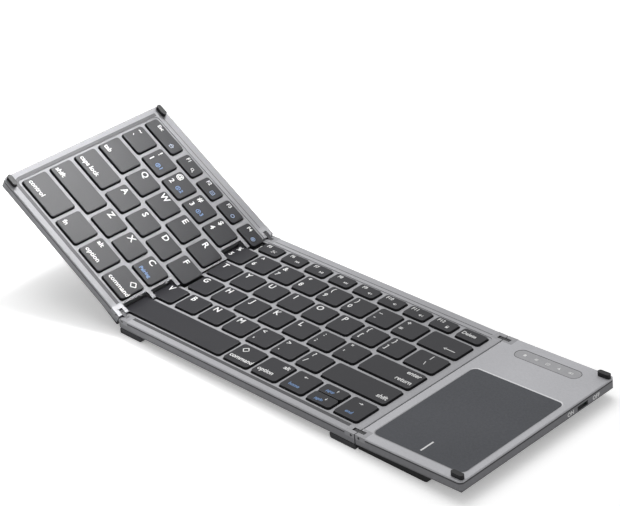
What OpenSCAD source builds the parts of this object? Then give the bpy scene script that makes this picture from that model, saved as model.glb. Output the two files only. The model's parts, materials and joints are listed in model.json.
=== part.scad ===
// Folding keyboard: a middle section and two leaves on two-pivot hinges.
// Millimetres. X runs along the board, Y from front to back, Z up from the table.
// Leaf parts are drawn flat, with X as the distance outward from their hinge line.

/* [Board] */
// Depth from the front edge to the back edge
board_d = 107.2; // [107:0.1:112]
// Middle section, from hinge line to hinge line
middle_w = 161.6; // [158:0.1:170]
// Left leaf, from its hinge line to its free edge
left_w = 96.8; // [94:0.1:104]
// Right leaf, from its hinge line to its free edge
right_w = 63.2; // [63:0.1:70]
// Thickness of a section, without its keys and feet
section_h = 5.75; // [5.6:0.05:6.5]
// Height of the feet under the middle section
foot_h = 2.5; // [2.2:0.1:4]
// Radius of the corners at the free edges
corner_r = 2.5; // [1.5:0.1:3]
// Tilt of the left leaf
left_angle = 32.1; // [5:0.1:80]
// Tilt of the right leaf, whose pod rests on the table
right_angle = 2; // [1:0.1:3]

/* [Shells] */
// Thickness of the deck plates
deck_t = 0.8; // [0.7:0.05:1.2]
// Bevel along the edges of the decks
deck_bevel = 0.25; // [0.1:0.05:0.4]
// Depth of the recessed key bed
bed_depth = 0.3; // [0.1:0.05:0.4]
// Strip of the bed around the keys
bed_margin = 1.8; // [1:0.1:2.2]
// Thickness of the case walls
wall = 1.2; // [0.9:0.1:1.5]
// Thickness of the case floors
floor_t = 0.9; // [0.8:0.05:1.1]
// Bevel along the underside
case_bevel = 0.6; // [0.2:0.1:0.8]

/* [Keys] */
// Width of the middle section beyond nine key pitches
end_room = 8.6; // [8:0.1:10]
// Gap between neighbouring keys in a row
key_gap = 2.94; // [2.8:0.02:3.2]
// Gap between two rows
row_gap = 3.13; // [3:0.01:3.4]
// Extra depth of the keys in the front row
front_extra = 1.63; // [1.2:0.01:1.8]
// Depth of a function key's top
f_key_d = 8.11; // [7.5:0.01:8.6]
// Gap between function keys
f_gap = 3.69; // [3.5:0.01:4]
// Extra width of a modifier key
modifier_extra = 2.06; // [1.8:0.01:2.4]
// Extra width of an arrow key
arrow_extra = 0.64; // [0.4:0.02:0.9]
// Gap between the up and the down arrow
arrow_split = 0.7; // [0.7:0.05:1]
// Extra gap where a row crosses the left hinge
split_extra = 0.5; // [0.4:0.05:0.7]
// Front edge of the board to the front row
front_margin = 7.25; // [7.1:0.05:7.5]
// Last row of keys to the back edge of the board
back_margin = 8.25; // [8:0.05:8.6]
// Free edge of the left leaf to its keys
left_margin = 6.9; // [6.5:0.1:7.5]
// Last keys to the right hinge line
right_margin = 5.6; // [5:0.1:6.5]
// Left edge of the space bar, from the left hinge line
space_x = -3.9; // [-4.2:0.05:-3.6]
// Left edge of the first lower letter key, from the left hinge line
v_x = -3.45; // [-3.8:0.05:-3.2]
// Left edge of the first home row key, from the left hinge line
g_x = 4.95; // [4.8:0.05:5.2]
// Left edge of the first upper letter key, from the left hinge line
t_x = 1.6; // [1.4:0.05:1.9]
// Left edge of the first number key, from the left hinge line
number_x = -4.4; // [-4.6:0.05:-4.1]
// Left edge of the first function key, from the left hinge line
f_x = 5.5; // [5.2:0.05:5.7]
// Height of the key tops above the deck
key_proud = 0.95; // [0.8:0.05:1.1]
// Height of a key cap
key_h = 2.35; // [2.2:0.05:2.4]
// Travel of a key
key_travel = 1.2; // [0.8:0.05:1.25]
// Top and side thickness of a key cap
cap_wall = 0.9; // [0.7:0.05:1]
// Spread of a key cap's foot beyond its top
key_flare = 0.3; // [0.1:0.05:0.35]
// Bevel around a key's top
key_bevel = 0.3; // [0.1:0.05:0.4]
// Corner radius of a key's top
key_r = 1.5; // [1:0.1:2]
// Opening in the deck around a key's top
key_well = 0.6; // [0.55:0.05:0.7]

/* [Hinges] */
// Pin to the hinge line
pin_offset = 2.4; // [2.3:0.05:2.5]
// Pin below the deck's top
pin_depth = 1.25; // [1.2:0.05:1.3]
// Radius of a hinge pin
pin_r = 0.6; // [0.5:0.05:0.65]
// Clearance around a pin in its bracket
pin_fit = 0.05; // [0.02:0.01:0.08]
// Radius of a link's ends
eye_r = 1.1; // [1:0.05:1.15]
// Width of a link
link_w = 2; // [1.6:0.1:2.2]
// Clearance beside a link
link_gap = 0.1; // [0.05:0.05:0.2]
// Middle of a link to the front or back edge of the board
link_inset = 3.35; // [3.2:0.05:3.5]
// Length of a bracket, from the hinge line
bracket_l = 6.3; // [6:0.1:6.8]
// Depth of a bracket, from the edge of the board
bracket_d = 5.95; // [5.7:0.05:6.1]
// Height of a bracket
bracket_h = 2.5; // [2.4:0.05:2.6]
// Length of the link's slot, from the hinge line
slot_l = 3.7; // [3.7:0.05:4]
// Section edge to the hinge line
seam_gap = 0.3; // [0.25:0.05:0.4]
// Notch in the left leaf, beyond a middle key that crosses the hinge line
leaf_notch = 1.5; // [1.45:0.05:1.6]
// Notch in the middle section, beyond a leaf key that crosses the hinge line
middle_notch = 2; // [1.9:0.05:2.1]
// Clearance beside a key in a notch
notch_side = 0.45; // [0.4:0.05:0.55]

/* [Touchpad] */
// Touchpad to the right hinge line
pad_x = 5.7; // [5:0.1:5.8]
// Touchpad to the free edge of the board
pad_end = 4; // [3.8:0.1:6]
// Touchpad to the front edge of the board
pad_y = 5.85; // [5.8:0.05:6.2]
// Touchpad to the back edge of the board
pad_rear = 31.75; // [31.5:0.05:36]
// Corner radius of the touchpad
pad_r = 3; // [1:0.1:4]
// Gap around the touchpad
pad_gap = 0.3; // [0.2:0.05:0.4]
// Thickness of the touchpad's glass
pad_t = 1; // [0.7:0.05:1.1]
// Travel of the touchpad's front edge
pad_click = 0.3; // [0.2:0.05:0.4]

/* [Right leaf] */
// Indicator window to the hinge line
window_start = 12.4; // [12:0.1:14]
// Indicator window to the free edge
window_end = 12.8; // [12:0.1:14]
// Width of the indicator window
window_w = 7; // [6:0.1:8]
// Middle of the window to the back edge
window_y = 9.35; // [9:0.05:11]
// Number of indicator lamps
lamps = 5; // [3:1:5]
// First lamp to the window's end
lamp_margin = 5.3; // [4.5:0.1:6]
// Middle of the switch to the back edge
switch_y = 23.7; // [22:0.1:26]
// Length of the switch's slot
switch_l = 7.5; // [7.4:0.1:8]
// Height of the switch's slot
switch_h = 2.3; // [2:0.1:2.4]
// Middle of the switch below the deck's top
switch_drop = 3.45; // [3.4:0.05:3.5]
// Travel of the switch
switch_travel = 3; // [2:0.1:3]
// Width of the charging socket
socket_w = 8.94; // [7.5:0.01:9]
// Height of the charging socket
socket_h = 3.2; // [2.6:0.05:3.2]
// Length of the charging socket
socket_l = 7.3; // [6:0.1:8]
// Middle of the socket to the hinge line
socket_x = 22; // [18:0.5:40]
// Flat part of the pod under the leaf
pod_l = 40; // [38:0.1:42]
// Length of the pod's rounded end
pod_end = 3.6; // [3:0.1:5]
// Pod to the front and back edges of the board
pod_inset = 1.4; // [1:0.1:2]
// Width of the battery
battery_w = 26; // [20:0.5:28]
// Battery to the touchpad's front edge
battery_y = 13.75; // [12:0.25:20]
// Thickness of the battery
battery_h = 3; // [2.4:0.1:3.2]

/* [Fittings] */
// Length of a corner bumper
bumper_l = 7; // [6:0.1:7]
// Width of a corner bumper
bumper_w = 2.6; // [2.2:0.1:2.8]
// Middle of a bumper to the free edge
bumper_x = 4.1; // [4:0.1:5]
// Middle of a bumper to the front or back edge
bumper_y = 2.6; // [2.4:0.05:2.8]
// Bumper to the facing deck when folded
bumper_air = 0.15; // [0.1:0.05:0.3]
// Width of the rubber strip under a free edge
strip_w = 4.4; // [3:0.1:5]
// Length of the strip
strip_l = 60; // [40:1:80]
// Middle of the strip to the free edge
strip_x = 6; // [5:0.1:8]
// Length of a foot of the middle section, along the board
foot_l = 16.1; // [14:0.1:18]
// Length of the wedge under the left leaf
wedge_l = 37.5; // [34:0.5:40]
// Thickness of the wedge's thin part
wedge_t = 0.9; // [0.8:0.05:1.2]
// Length of the wedge's sloping part
wedge_slope = 21; // [18:0.5:24]
// Radius of a case screw's shank
screw_r = 0.6; // [0.5:0.05:0.7]
// Radius of a case screw's head
screw_head_r = 1.1; // [1:0.05:1.2]
// Screws to the front and back edges
screw_y = 3.1; // [3:0.05:3.3]
// Screws to the hinge lines
screw_x = 14; // [12:0.5:16]

/* [Hidden] */
$fn = 48;

// Heights, from the table up
case_z = foot_h;
floor_z = case_z + floor_t;
deck_z = case_z + section_h;
plate_z = deck_z - deck_t;
bed_z = deck_z - bed_depth;
key_z = deck_z + key_proud;
skirt_z = key_z - key_h;
stop_gap = 0.2;
well_z = skirt_z - key_travel - stop_gap;
sheet_t = 0.25;
key_plate_t = 0.5;
key_plate_z = well_z - sheet_t - key_plate_t;
dome_h = skirt_z - well_z;
dome_r = 2.6;
board_t = 0.8;
board_z = floor_z;
pin_z = deck_z - pin_depth;
bracket_z = deck_z - bracket_h;

// Key sizes that follow the sections: nine pitches across, five equal rows in depth
key_pitch = (middle_w - end_room) / 9;
key_w = key_pitch - key_gap;
f_key_w = key_pitch - f_gap;
modifier_w = key_w + modifier_extra;
arrow_w = key_w + arrow_extra;
key_d = (board_d - front_margin - back_margin - f_key_d - front_extra - 4 * row_gap - key_gap) / 5;
front_key_d = key_d + front_extra;

// Plan
half_d = board_d / 2;
past = 1;
inner_gap = 0.3;
bracket_lip = 0.7;
hair = 0.02;
post_r = 1.5;
boss_r = 1.3;
boss_gap = 0.5;
sheet_inset = 1;
block_gap = 1;
pin_end = 0.2;
pin_stop = 0.3;
link_flat = 0.85;
key_field_left = left_w - left_margin;
key_field_right = middle_w - right_margin;
front_y = front_margin - half_d;
v_y = front_y + front_key_d + row_gap;
g_y = v_y + key_d + row_gap;
t_y = g_y + key_d + row_gap;
number_y = t_y + key_d + row_gap;
f_y = number_y + key_d + key_gap;
field_back = f_y + f_key_d;

// A row: front edge, depth, left edge of its first middle key, key width, gap
front_row = [front_y, front_key_d, space_x, modifier_w, key_gap];
v_row_at = [v_y, key_d, v_x, key_w, key_gap];
g_row_at = [g_y, key_d, g_x, key_w, key_gap];
t_row_at = [t_y, key_d, t_x, key_w, key_gap];
number_row = [number_y, key_d, number_x, key_w, key_gap];
f_row = [f_y, f_key_d, f_x, f_key_w, f_gap];
rows = [front_row, v_row_at, g_row_at, t_row_at, number_row, f_row];

function pitch(row) = row[3] + row[4];
function cell(row, x) = [x[0], x[1], row[0], row[0] + row[1]];
// Right edge of the last leaf key, from the left hinge line
function leaf_edge(row) = row[2] - row[4] - split_extra;
// Keys of the leaf count outward from the hinge, keys of the middle count from the left
function leaf_key(row, k) = let (x = k * pitch(row) - leaf_edge(row)) cell(row, [x, x + row[3]]);
function leaf_end_key(row, n) = cell(row, [leaf_key(row, n - 1)[1] + row[4], key_field_left]);
function middle_key(row, k) = let (x = row[2] + k * pitch(row)) cell(row, [x, x + row[3]]);
function middle_end_key(row, n) = cell(row, [row[2] + n * pitch(row), key_field_right]);

// Keys of each group
leaf_f = concat([leaf_end_key(f_row, 4)], [for (k = [0:3]) leaf_key(f_row, k)]);
leaf_number = concat([leaf_end_key(number_row, 4)], [for (k = [0:3]) leaf_key(number_row, k)]);
leaf_tab = [leaf_end_key(t_row_at, 4)];
leaf_q = [for (k = [0:3]) leaf_key(t_row_at, k)];
leaf_caps = [leaf_end_key(g_row_at, 4)];
leaf_a = [for (k = [0:3]) leaf_key(g_row_at, k)];
leaf_shift = [leaf_end_key(v_row_at, 3)];
leaf_z = [for (k = [0:2]) leaf_key(v_row_at, k)];
leaf_modifiers = concat([leaf_end_key(front_row, 3)], [for (k = [0:2]) leaf_key(front_row, k)]);
leaf_cells = concat(leaf_f, leaf_number, leaf_tab, leaf_q, leaf_caps, leaf_a, leaf_shift, leaf_z,
    leaf_modifiers);

middle_f = [for (k = [0:7]) middle_key(f_row, k)];
middle_delete = [middle_end_key(f_row, 8)];
middle_number = [for (k = [0:7]) middle_key(number_row, k)];
middle_backspace = [middle_end_key(number_row, 8)];
middle_t = concat([for (k = [0:7]) middle_key(t_row_at, k)], [middle_end_key(t_row_at, 8)]);
middle_g = [for (k = [0:6]) middle_key(g_row_at, k)];
middle_enter = [middle_end_key(g_row_at, 7)];
middle_v = [for (k = [0:6]) middle_key(v_row_at, k)];
middle_shift = [middle_end_key(v_row_at, 7)];
// The front row counts back from its right end
arrow_x = [for (k = [0:2]) key_field_right - arrow_w - k * (arrow_w + key_gap)];
right_slot = cell(front_row, [arrow_x[0], arrow_x[0] + arrow_w]);
updown_slot = cell(front_row, [arrow_x[1], arrow_x[1] + arrow_w]);
left_slot = cell(front_row, [arrow_x[2], arrow_x[2] + arrow_w]);
half_key_d = (front_key_d - arrow_split) / 2;
down_cell = [updown_slot[0], updown_slot[1], front_y, front_y + half_key_d];
up_cell = [updown_slot[0], updown_slot[1], front_y + front_key_d - half_key_d, front_y + front_key_d];
modifier_x = [for (k = [1:2]) arrow_x[2] - k * (modifier_w + key_gap)];
middle_modifiers = [for (x = modifier_x) cell(front_row, [x, x + modifier_w])];
middle_space = [cell(front_row, [space_x, modifier_x[1] - key_gap])];
// The up and down arrows share one opening
middle_wells = concat(middle_f, middle_delete, middle_number, middle_backspace, middle_t, middle_g,
    middle_enter, middle_v, middle_shift, middle_space, middle_modifiers,
    [left_slot, updown_slot, right_slot]);
middle_dome_cells = concat(middle_f, middle_delete, middle_number, middle_backspace, middle_t, middle_g,
    middle_enter, middle_v, middle_shift, middle_space, middle_modifiers,
    [left_slot, up_cell, down_cell, right_slot]);

// Screws: from the hinge line outward
middle_screw_x = [screw_x, middle_w / 2, middle_w - screw_x];
left_screw_x = [screw_x, left_w - screw_x];
right_screw_x = [screw_x, right_w - screw_x];
screw_rows = [screw_y - half_d, half_d - screw_y];
screw_head_h = 0.5;
screw_fit = 0.05;
screw_tip_z = plate_z - stop_gap;
slot_r = 0.75;
slot_w = 0.24;
plug_r = bumper_w / 2 - 0.4;
strip_proud = 0.1;
groove = 0.25;
groove_pitch = 0.6;

// Ribbon cables dip below the pins between the sections
ribbon_w = 12;
ribbon_t = 0.2;
ribbon_half = 2.2;
ribbon_r = 4.2;
ribbon_z = floor_z + inner_gap;
left_ribbon_y = t_y + (key_d - ribbon_w) / 2;
right_ribbon_y = number_y + (key_d - ribbon_w) / 2;

// Right leaf
pad_at = [pad_x, right_w - pad_end];
pad_mid = (pad_at[0] + pad_at[1]) / 2;
pad_front = pad_y - half_d;
pad_back = half_d - pad_rear;
pad_drop = 0.1;
pad_z = deck_z - pad_drop;
pad_board_t = 0.8;
pad_board_z = pad_z - pad_t - pad_board_t;
pad_rim = 1.2;
// The touchpad turns on a round bead under its back edge
bead_r = 0.35;
bead_fit = 0.05;
bead_y = pad_back - pad_rim / 2;
tact_w = 4.5;
tact_h = 0.7;
tact_stem = 0.2;
mark_w = 0.3;
mark_y = [2.5, 11];
window_x = (window_start + right_w - window_end) / 2;
window_l = right_w - window_start - window_end;
window_drop = 0.05;
lamp_pitch = (window_l - 2 * lamp_margin) / (lamps - 1);
lamp_h = 0.6;
lamp_r = 1;
lamp_x = [for (k = [0:lamps - 1]) window_x + (k - (lamps - 1) / 2) * lamp_pitch];
board_edge = 2.4;
board_front = pad_back + board_edge;
board_back = half_d - screw_y - boss_r - inner_gap;
chip_h = 0.8;
chip_w = 5;
switch_z = deck_z - switch_drop;
switch_mid = half_d - switch_y;
knob_fit = 0.15;
knob_end = 0.3;
knob_l = switch_l - 2 * knob_end - switch_travel;
knob_back = 0.5;
knob_grooves = 4;
knob_mount = 2.8;
socket_fit = 0.1;
socket_t = 0.3;
tongue_t = 0.7;
tongue_w = 6.6;
tongue_back = 0.6;
pod_t = 0.9;
pod_lip = 0.8;
pod_channel = 1;
pod_arc = 12;
battery_x = 8.4;
tab_l = 2.5;
tab_h = 1;
tab_inset = 4;
battery_at = [battery_x, battery_x + battery_w];
battery_front = pad_front + battery_y;
battery_back = pad_back - pad_rim - tab_l - 2 * inner_gap;

// Table height under the tilted right leaf, seen from the leaf
function table_z(x) = pin_z - (pin_z + (pin_offset + x) * sin(right_angle)) / cos(right_angle);

// The origin is at the middle of the resting board
left_reach = pin_offset - (left_w + pin_offset) * cos(left_angle)
    - (pin_z - case_z - case_bevel) * sin(left_angle);
right_reach = middle_w - pin_offset + (right_w + pin_offset) * cos(right_angle)
    + (pin_z - case_z - case_bevel) * sin(right_angle);
centre_x = (left_reach + right_reach) / 2;

deck_color = [0.62, 0.62, 0.65];
case_color = [0.38, 0.38, 0.41];
key_color = [0.22, 0.22, 0.24];
steel_color = [0.75, 0.75, 0.77];
black_color = [0.1, 0.1, 0.11];
board_color = [0.1, 0.35, 0.2];

// Placing
module on_board() translate([-centre_x, 0, 0]) children();
module turn(x, angle) translate([x, 0, pin_z]) rotate([0, angle, 0])
    translate([-x, 0, -pin_z]) children();
module left_leaf() on_board() turn(pin_offset, left_angle) mirror([1, 0, 0]) children();
module right_leaf() on_board() turn(middle_w - pin_offset, -right_angle)
    translate([middle_w, 0, 0]) children();
module both_ends() for (side = [0, 1]) mirror([0, side, 0]) children();
module both_hinges() {
    children();
    translate([middle_w, 0, 0]) mirror([1, 0, 0]) children();
}

// Basic shapes
module box(x, y, z) translate([x[0], y[0], z[0]]) cube([x[1] - x[0], y[1] - y[0], z[1] - z[0]]);
module prism(z) translate([0, 0, z[0]]) linear_extrude(z[1] - z[0]) children();
module pin_along_y(x, z, y, r) translate([x, y[1], z]) rotate([90, 0, 0]) cylinder(h = y[1] - y[0], r = r);
module rounded(x, y, r) {
    translate([x[0] + r, y[0]]) square([x[1] - x[0] - 2 * r, y[1] - y[0]]);
    translate([x[0], y[0] + r]) square([x[1] - x[0], y[1] - y[0] - 2 * r]);
    for (cx = [x[0] + r, x[1] - r], cy = [y[0] + r, y[1] - r]) translate([cx, cy]) circle(r);
}
function top_bevel(a, b, z, e) =
    [[a, z[0]], [b, z[0]], [b, z[1] - e], [b - e, z[1]], [a + e, z[1]], [a, z[1] - e]];
function bottom_bevel(a, b, z, e) =
    [[a + e, z[0]], [b - e, z[0]], [b, z[0] + e], [b, z[1]], [a, z[1]], [a, z[0] + e]];
module along_x(x, outline) translate([x[0], 0, 0]) rotate([90, 0, 90]) linear_extrude(x[1] - x[0])
    polygon(outline);
module along_y(y, outline) translate([0, y[1], 0]) rotate([90, 0, 0]) linear_extrude(y[1] - y[0])
    polygon(outline);

// Outlines of the sections; the inset shrinks them on every side
module middle_plan(inset = 0) difference() {
    x = [seam_gap + inset, middle_w - seam_gap - inset];
    translate([x[0], inset - half_d]) square([x[1] - x[0], board_d - 2 * inset]);
    for (row = rows) {
        reach = leaf_edge(row) + middle_notch + inset;
        side = notch_side + inset;
        if (reach > x[0]) translate([-past, row[0] - side]) square([reach + past, row[1] + 2 * side]);
    }
}
module leaf_plan(w, inset = 0) {
    x = [seam_gap + inset, w - inset];
    y = half_d - inset;
    r = corner_r - inset;
    translate([x[0], -y]) square([x[1] - r - x[0], 2 * y]);
    translate([x[1] - r - past, r - y]) square([r + past, 2 * (y - r)]);
    for (side = [-1, 1]) translate([x[1] - r, side * (y - r)]) circle(r);
}
module left_plan(inset = 0) difference() {
    leaf_plan(left_w, inset);
    for (row = rows) {
        reach = leaf_notch - row[2] + inset;
        side = notch_side + inset;
        if (reach > seam_gap + inset)
            translate([-past, row[0] - side]) square([reach + past, row[1] + 2 * side]);
    }
}

// Key parts
module cap(c) difference() {
    hull() for (x = [c[0] + key_r, c[1] - key_r], y = [c[2] + key_r, c[3] - key_r]) translate([x, y, 0]) {
        translate([0, 0, skirt_z]) cylinder(h = key_h - key_bevel, r1 = key_r + key_flare, r2 = key_r, $fn = 16);
        translate([0, 0, skirt_z]) cylinder(h = key_h, r = key_r - key_bevel, $fn = 16);
    }
    box([c[0] + cap_wall - key_flare, c[1] - cap_wall + key_flare],
        [c[2] + cap_wall - key_flare, c[3] - cap_wall + key_flare], [skirt_z - past, key_z - cap_wall]);
}
module leaf_caps(cells) color(key_color) left_leaf() for (c = cells) cap(c);
module middle_caps(cells) color(key_color) on_board() for (c = cells) cap(c);
module well(c, z) prism(z) rounded([c[0] - key_well, c[1] + key_well], [c[2] - key_well, c[3] + key_well],
    key_r + key_well / 2);
module deep_well(c) box([c[0] - key_well, c[1] + key_well], [c[2] - key_well, c[3] + key_well],
    [well_z, deck_z]);
module dome(c) translate([(c[0] + c[1]) / 2, (c[2] + c[3]) / 2, well_z - sheet_t])
    cylinder(h = dome_h + sheet_t, r1 = dome_r, r2 = dome_r / 2);

// Where a row's first key crosses or meets the hinge line, nothing stands above the wells
module seam_passage(row, x, z) box(x, [row[0] - key_well, row[0] + row[1] + key_well], z);

// Deck and case parts
module bracket_pocket(z) both_ends() box([-past, bracket_l], [-half_d - past, bracket_d - half_d], z);
module bosses(xs, z) for (x = xs, y = screw_rows) translate([x, y, z[0]])
    cylinder(h = z[1] - z[0], r = boss_r);
module boss_passages(xs) for (x = xs, y = screw_rows) translate([x, y, 0])
    cylinder(h = deck_z, r = boss_r + boss_gap);
module screw_bores(xs) for (x = xs, y = screw_rows) translate([x, y, case_z - past]) {
    cylinder(h = screw_tip_z - case_z + past + screw_fit, r = screw_r + screw_fit);
    cylinder(h = screw_head_h + past, r = screw_head_r + screw_fit);
}
module screws(xs) for (x = xs, y = screw_rows) translate([x, y, case_z]) difference() {
    union() {
        cylinder(h = screw_tip_z - case_z, r = screw_r);
        cylinder(h = screw_head_h, r = screw_head_r);
    }
    box([-slot_r, slot_r], [-slot_w / 2, slot_w / 2], [-past, screw_head_h / 2]);
    box([-slot_w / 2, slot_w / 2], [-slot_r, slot_r], [-past, screw_head_h / 2]);
}
module bumper_holes() both_ends() translate([0, bumper_y - half_d, plate_z - past])
    cylinder(h = deck_t + 2 * past, r = plug_r);
// Hinge block under a bracket, and the lip that closes the case around it
module hinge_blocks() both_ends() box([seam_gap, bracket_l + wall],
    [-half_d + wall / 2, bracket_d + bracket_lip - half_d], [case_z + floor_t / 2, plate_z]);
module ribbon_window(y) box([-past, wall + seam_gap + past], [y - inner_gap, y + ribbon_w + inner_gap],
    [floor_z, deck_z]);
module bracket() color(steel_color) both_ends() difference() {
    y = [link_inset - link_w / 2 - half_d, link_inset + link_w / 2 - half_d];
    box([seam_gap, bracket_l], [-half_d, bracket_d - half_d], [bracket_z, deck_z]);
    box([-past, slot_l], [y[0] - link_gap, y[1] + link_gap], [bracket_z - past, deck_z + past]);
    pin_along_y(pin_offset, pin_z, [-half_d - past, bracket_d - half_d - pin_end], pin_r + pin_fit);
}
module link_pair() both_ends() difference() {
    y = [link_inset - link_w / 2 - half_d, link_inset + link_w / 2 - half_d];
    union() {
        for (x = [-pin_offset, pin_offset]) pin_along_y(x, pin_z, y, eye_r);
        box([-pin_offset, pin_offset], y, [pin_z - eye_r * link_flat, pin_z + eye_r * link_flat]);
    }
    for (x = [-pin_offset, pin_offset]) pin_along_y(x, pin_z, [y[0] - past, y[1] + past], pin_r);
}
module pin_set() both_ends() for (x = [-pin_offset, pin_offset])
    pin_along_y(x, pin_z, [pin_end - half_d, bracket_d - half_d - pin_stop], pin_r);
module ribbon(y) intersection() {
    translate([0, y + ribbon_w, ribbon_z + ribbon_r]) rotate([90, 0, 0]) linear_extrude(ribbon_w) difference() {
        circle(ribbon_r);
        circle(ribbon_r - ribbon_t);
    }
    box([-ribbon_half, ribbon_half], [y - past, y + ribbon_w + past], [0, ribbon_z + ribbon_r / 2]);
}

// The domes' sheets stop short of the hinge blocks
module block_corners() for (y = [-half_d, half_d]) translate([0, y])
    square([2 * (bracket_l + wall + block_gap), 2 * (bracket_d + wall + block_gap)], center = true);

// Middle section
module middle_deck() color(deck_color) on_board() difference() {
    union() {
        difference() {
            intersection() {
                prism([plate_z, deck_z]) middle_plan();
                along_x([0, middle_w], top_bevel(-half_d, half_d, [plate_z, deck_z], deck_bevel));
                along_y([-half_d, half_d],
                    top_bevel(seam_gap, middle_w - seam_gap, [plate_z, deck_z], deck_bevel));
            }
            prism([bed_z, deck_z + past]) rounded([-corner_r * 4, key_field_right + bed_margin],
                [front_y - bed_margin, field_back + bed_margin], corner_r);
            for (c = middle_wells) well(c, [plate_z - past, deck_z + past]);
            for (row = rows) if (leaf_edge(row) > -seam_gap)
                seam_passage(row, [-past, row[2]], [plate_z - past, deck_z + past]);
            both_hinges() bracket_pocket([plate_z - past, deck_z + past]);
        }
        bosses(middle_screw_x, [floor_z, plate_z]);
    }
    screw_bores(middle_screw_x);
}
module middle_case() color(case_color) on_board() difference() {
    union() {
        difference() {
            intersection() {
                prism([case_z, plate_z]) middle_plan();
                along_x([0, middle_w], bottom_bevel(-half_d, half_d, [case_z, plate_z], case_bevel));
            }
            prism([floor_z, plate_z + past]) middle_plan(wall);
        }
        both_hinges() hinge_blocks();
        for (p = middle_posts) translate([p[0], p[1], case_z + floor_t / 2])
            cylinder(h = key_plate_z - case_z - floor_t / 2, r = post_r);
    }
    for (c = middle_wells) deep_well(c);
    for (row = rows) seam_passage(row, [-past, max(row[2], wall)], [well_z, plate_z + past]);
    both_hinges() bracket_pocket([bracket_z, deck_z]);
    ribbon_window(left_ribbon_y);
    translate([middle_w, 0, 0]) mirror([1, 0, 0]) ribbon_window(right_ribbon_y);
    screw_bores(middle_screw_x);
}
post_rows = [v_y - row_gap / 2, t_y - row_gap / 2, number_y - row_gap / 2];
middle_posts = [for (k = [1:4], y = post_rows) [k * middle_w / 5, y]];
module middle_key_plate() color(steel_color) on_board() difference() {
    prism([key_plate_z, key_plate_z + key_plate_t]) middle_plan(wall + inner_gap);
    both_hinges() bracket_pocket_clear();
    boss_passages(middle_screw_x);
    for (c = middle_dome_cells) translate([(c[0] + c[1]) / 2, (c[2] + c[3]) / 2, 0])
        cylinder(h = deck_z, r = dome_r / 2);
}
module bracket_pocket_clear() both_ends() box([-past, bracket_l + wall + inner_gap],
    [-half_d - past, bracket_d + wall + inner_gap - half_d], [0, deck_z]);
module middle_domes() color(black_color) on_board() {
    prism([well_z - sheet_t, well_z]) difference() {
        middle_plan(wall + inner_gap + sheet_inset);
        for (x = [0, middle_w]) translate([x, 0]) block_corners();
        for (x = middle_screw_x, y = screw_rows) translate([x, y]) circle(boss_r + inner_gap);
    }
    for (c = middle_dome_cells) dome(c);
}
main_board_x = [0.35 * middle_w, 0.72 * middle_w];
chip_z = [board_z + board_t, key_plate_z - inner_gap / 2];
module chip(x, y, w, d) box([x, x + w], [y, y + d], chip_z);
module main_board() color(board_color) on_board() {
    difference() {
        box(main_board_x, [t_y + row_gap, number_y + key_d], [board_z, board_z + board_t]);
        for (p = middle_posts) translate([p[0], p[1], 0]) cylinder(h = deck_z, r = post_r + inner_gap);
    }
    chip(main_board_x[0] + 4 * chip_w, number_y + inner_gap, 1.4 * chip_w, 1.4 * chip_w);
    chip(main_board_x[0] + 7 * chip_w, number_y + inner_gap, chip_w / 2, chip_w / 2);
    for (k = [1, 9]) chip(main_board_x[0] + k * chip_w, t_y + key_d / 2, chip_w, chip_w / 2);
    for (k = [1:3]) chip(main_board_x[0] + k * chip_w, number_y + key_d / 2, chip_w / 3, chip_w / 4);
}
module middle_brackets() on_board() both_hinges() bracket();
module middle_feet() color(black_color) on_board() both_hinges() difference() {
    foot_r = foot_h / 2;
    union() {
        box([seam_gap, foot_l], [-half_d, half_d], [foot_r, foot_h]);
        box([seam_gap, foot_l - foot_r], [-half_d, half_d], [0, foot_h]);
        pin_along_y(foot_l - foot_r, foot_r, [-half_d, half_d], foot_r);
    }
    for (z = [groove_pitch:groove_pitch:foot_h - groove_pitch]) both_ends()
        box([0, foot_l + past], [-half_d - past, groove - half_d], [z, z + groove]);
    for (x = middle_screw_x, y = screw_rows) translate([x, y, -past])
        cylinder(h = foot_h + 2 * past, r = screw_head_r + inner_gap);
}
module middle_screws() color(steel_color) on_board() screws(middle_screw_x);

// Hinges
module left_links() color(steel_color) left_leaf() link_pair();
module left_pins() color(steel_color) left_leaf() pin_set();
module left_ribbon() color("sienna") left_leaf() ribbon(left_ribbon_y);
module right_links() color(steel_color) right_leaf() link_pair();
module right_pins() color(steel_color) right_leaf() pin_set();
module right_ribbon() color("sienna") right_leaf() ribbon(right_ribbon_y);

// Left leaf
module left_deck() color(deck_color) left_leaf() difference() {
    union() {
        difference() {
            intersection() {
                prism([plate_z, deck_z]) left_plan();
                along_x([0, left_w], top_bevel(-half_d, half_d, [plate_z, deck_z], deck_bevel));
                along_y([-half_d, half_d], top_bevel(seam_gap, left_w, [plate_z, deck_z], deck_bevel));
            }
            prism([bed_z, deck_z + past]) rounded([-corner_r * 4, key_field_left + bed_margin],
                [front_y - bed_margin, field_back + bed_margin], corner_r);
            for (c = leaf_cells) well(c, [plate_z - past, deck_z + past]);
            bracket_pocket([plate_z - past, deck_z + past]);
            translate([left_w - bumper_x, 0, 0]) bumper_holes();
        }
        bosses(left_screw_x, [floor_z, plate_z]);
    }
    screw_bores(left_screw_x);
}
module strip_channel(w) box([w - strip_x - strip_w / 2, w - strip_x + strip_w / 2],
    [-strip_l / 2, strip_l / 2], [case_z - past, case_z + floor_t / 2]);
left_posts = [for (k = [1:2], y = post_rows) [k * left_w / 3, y]];
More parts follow.
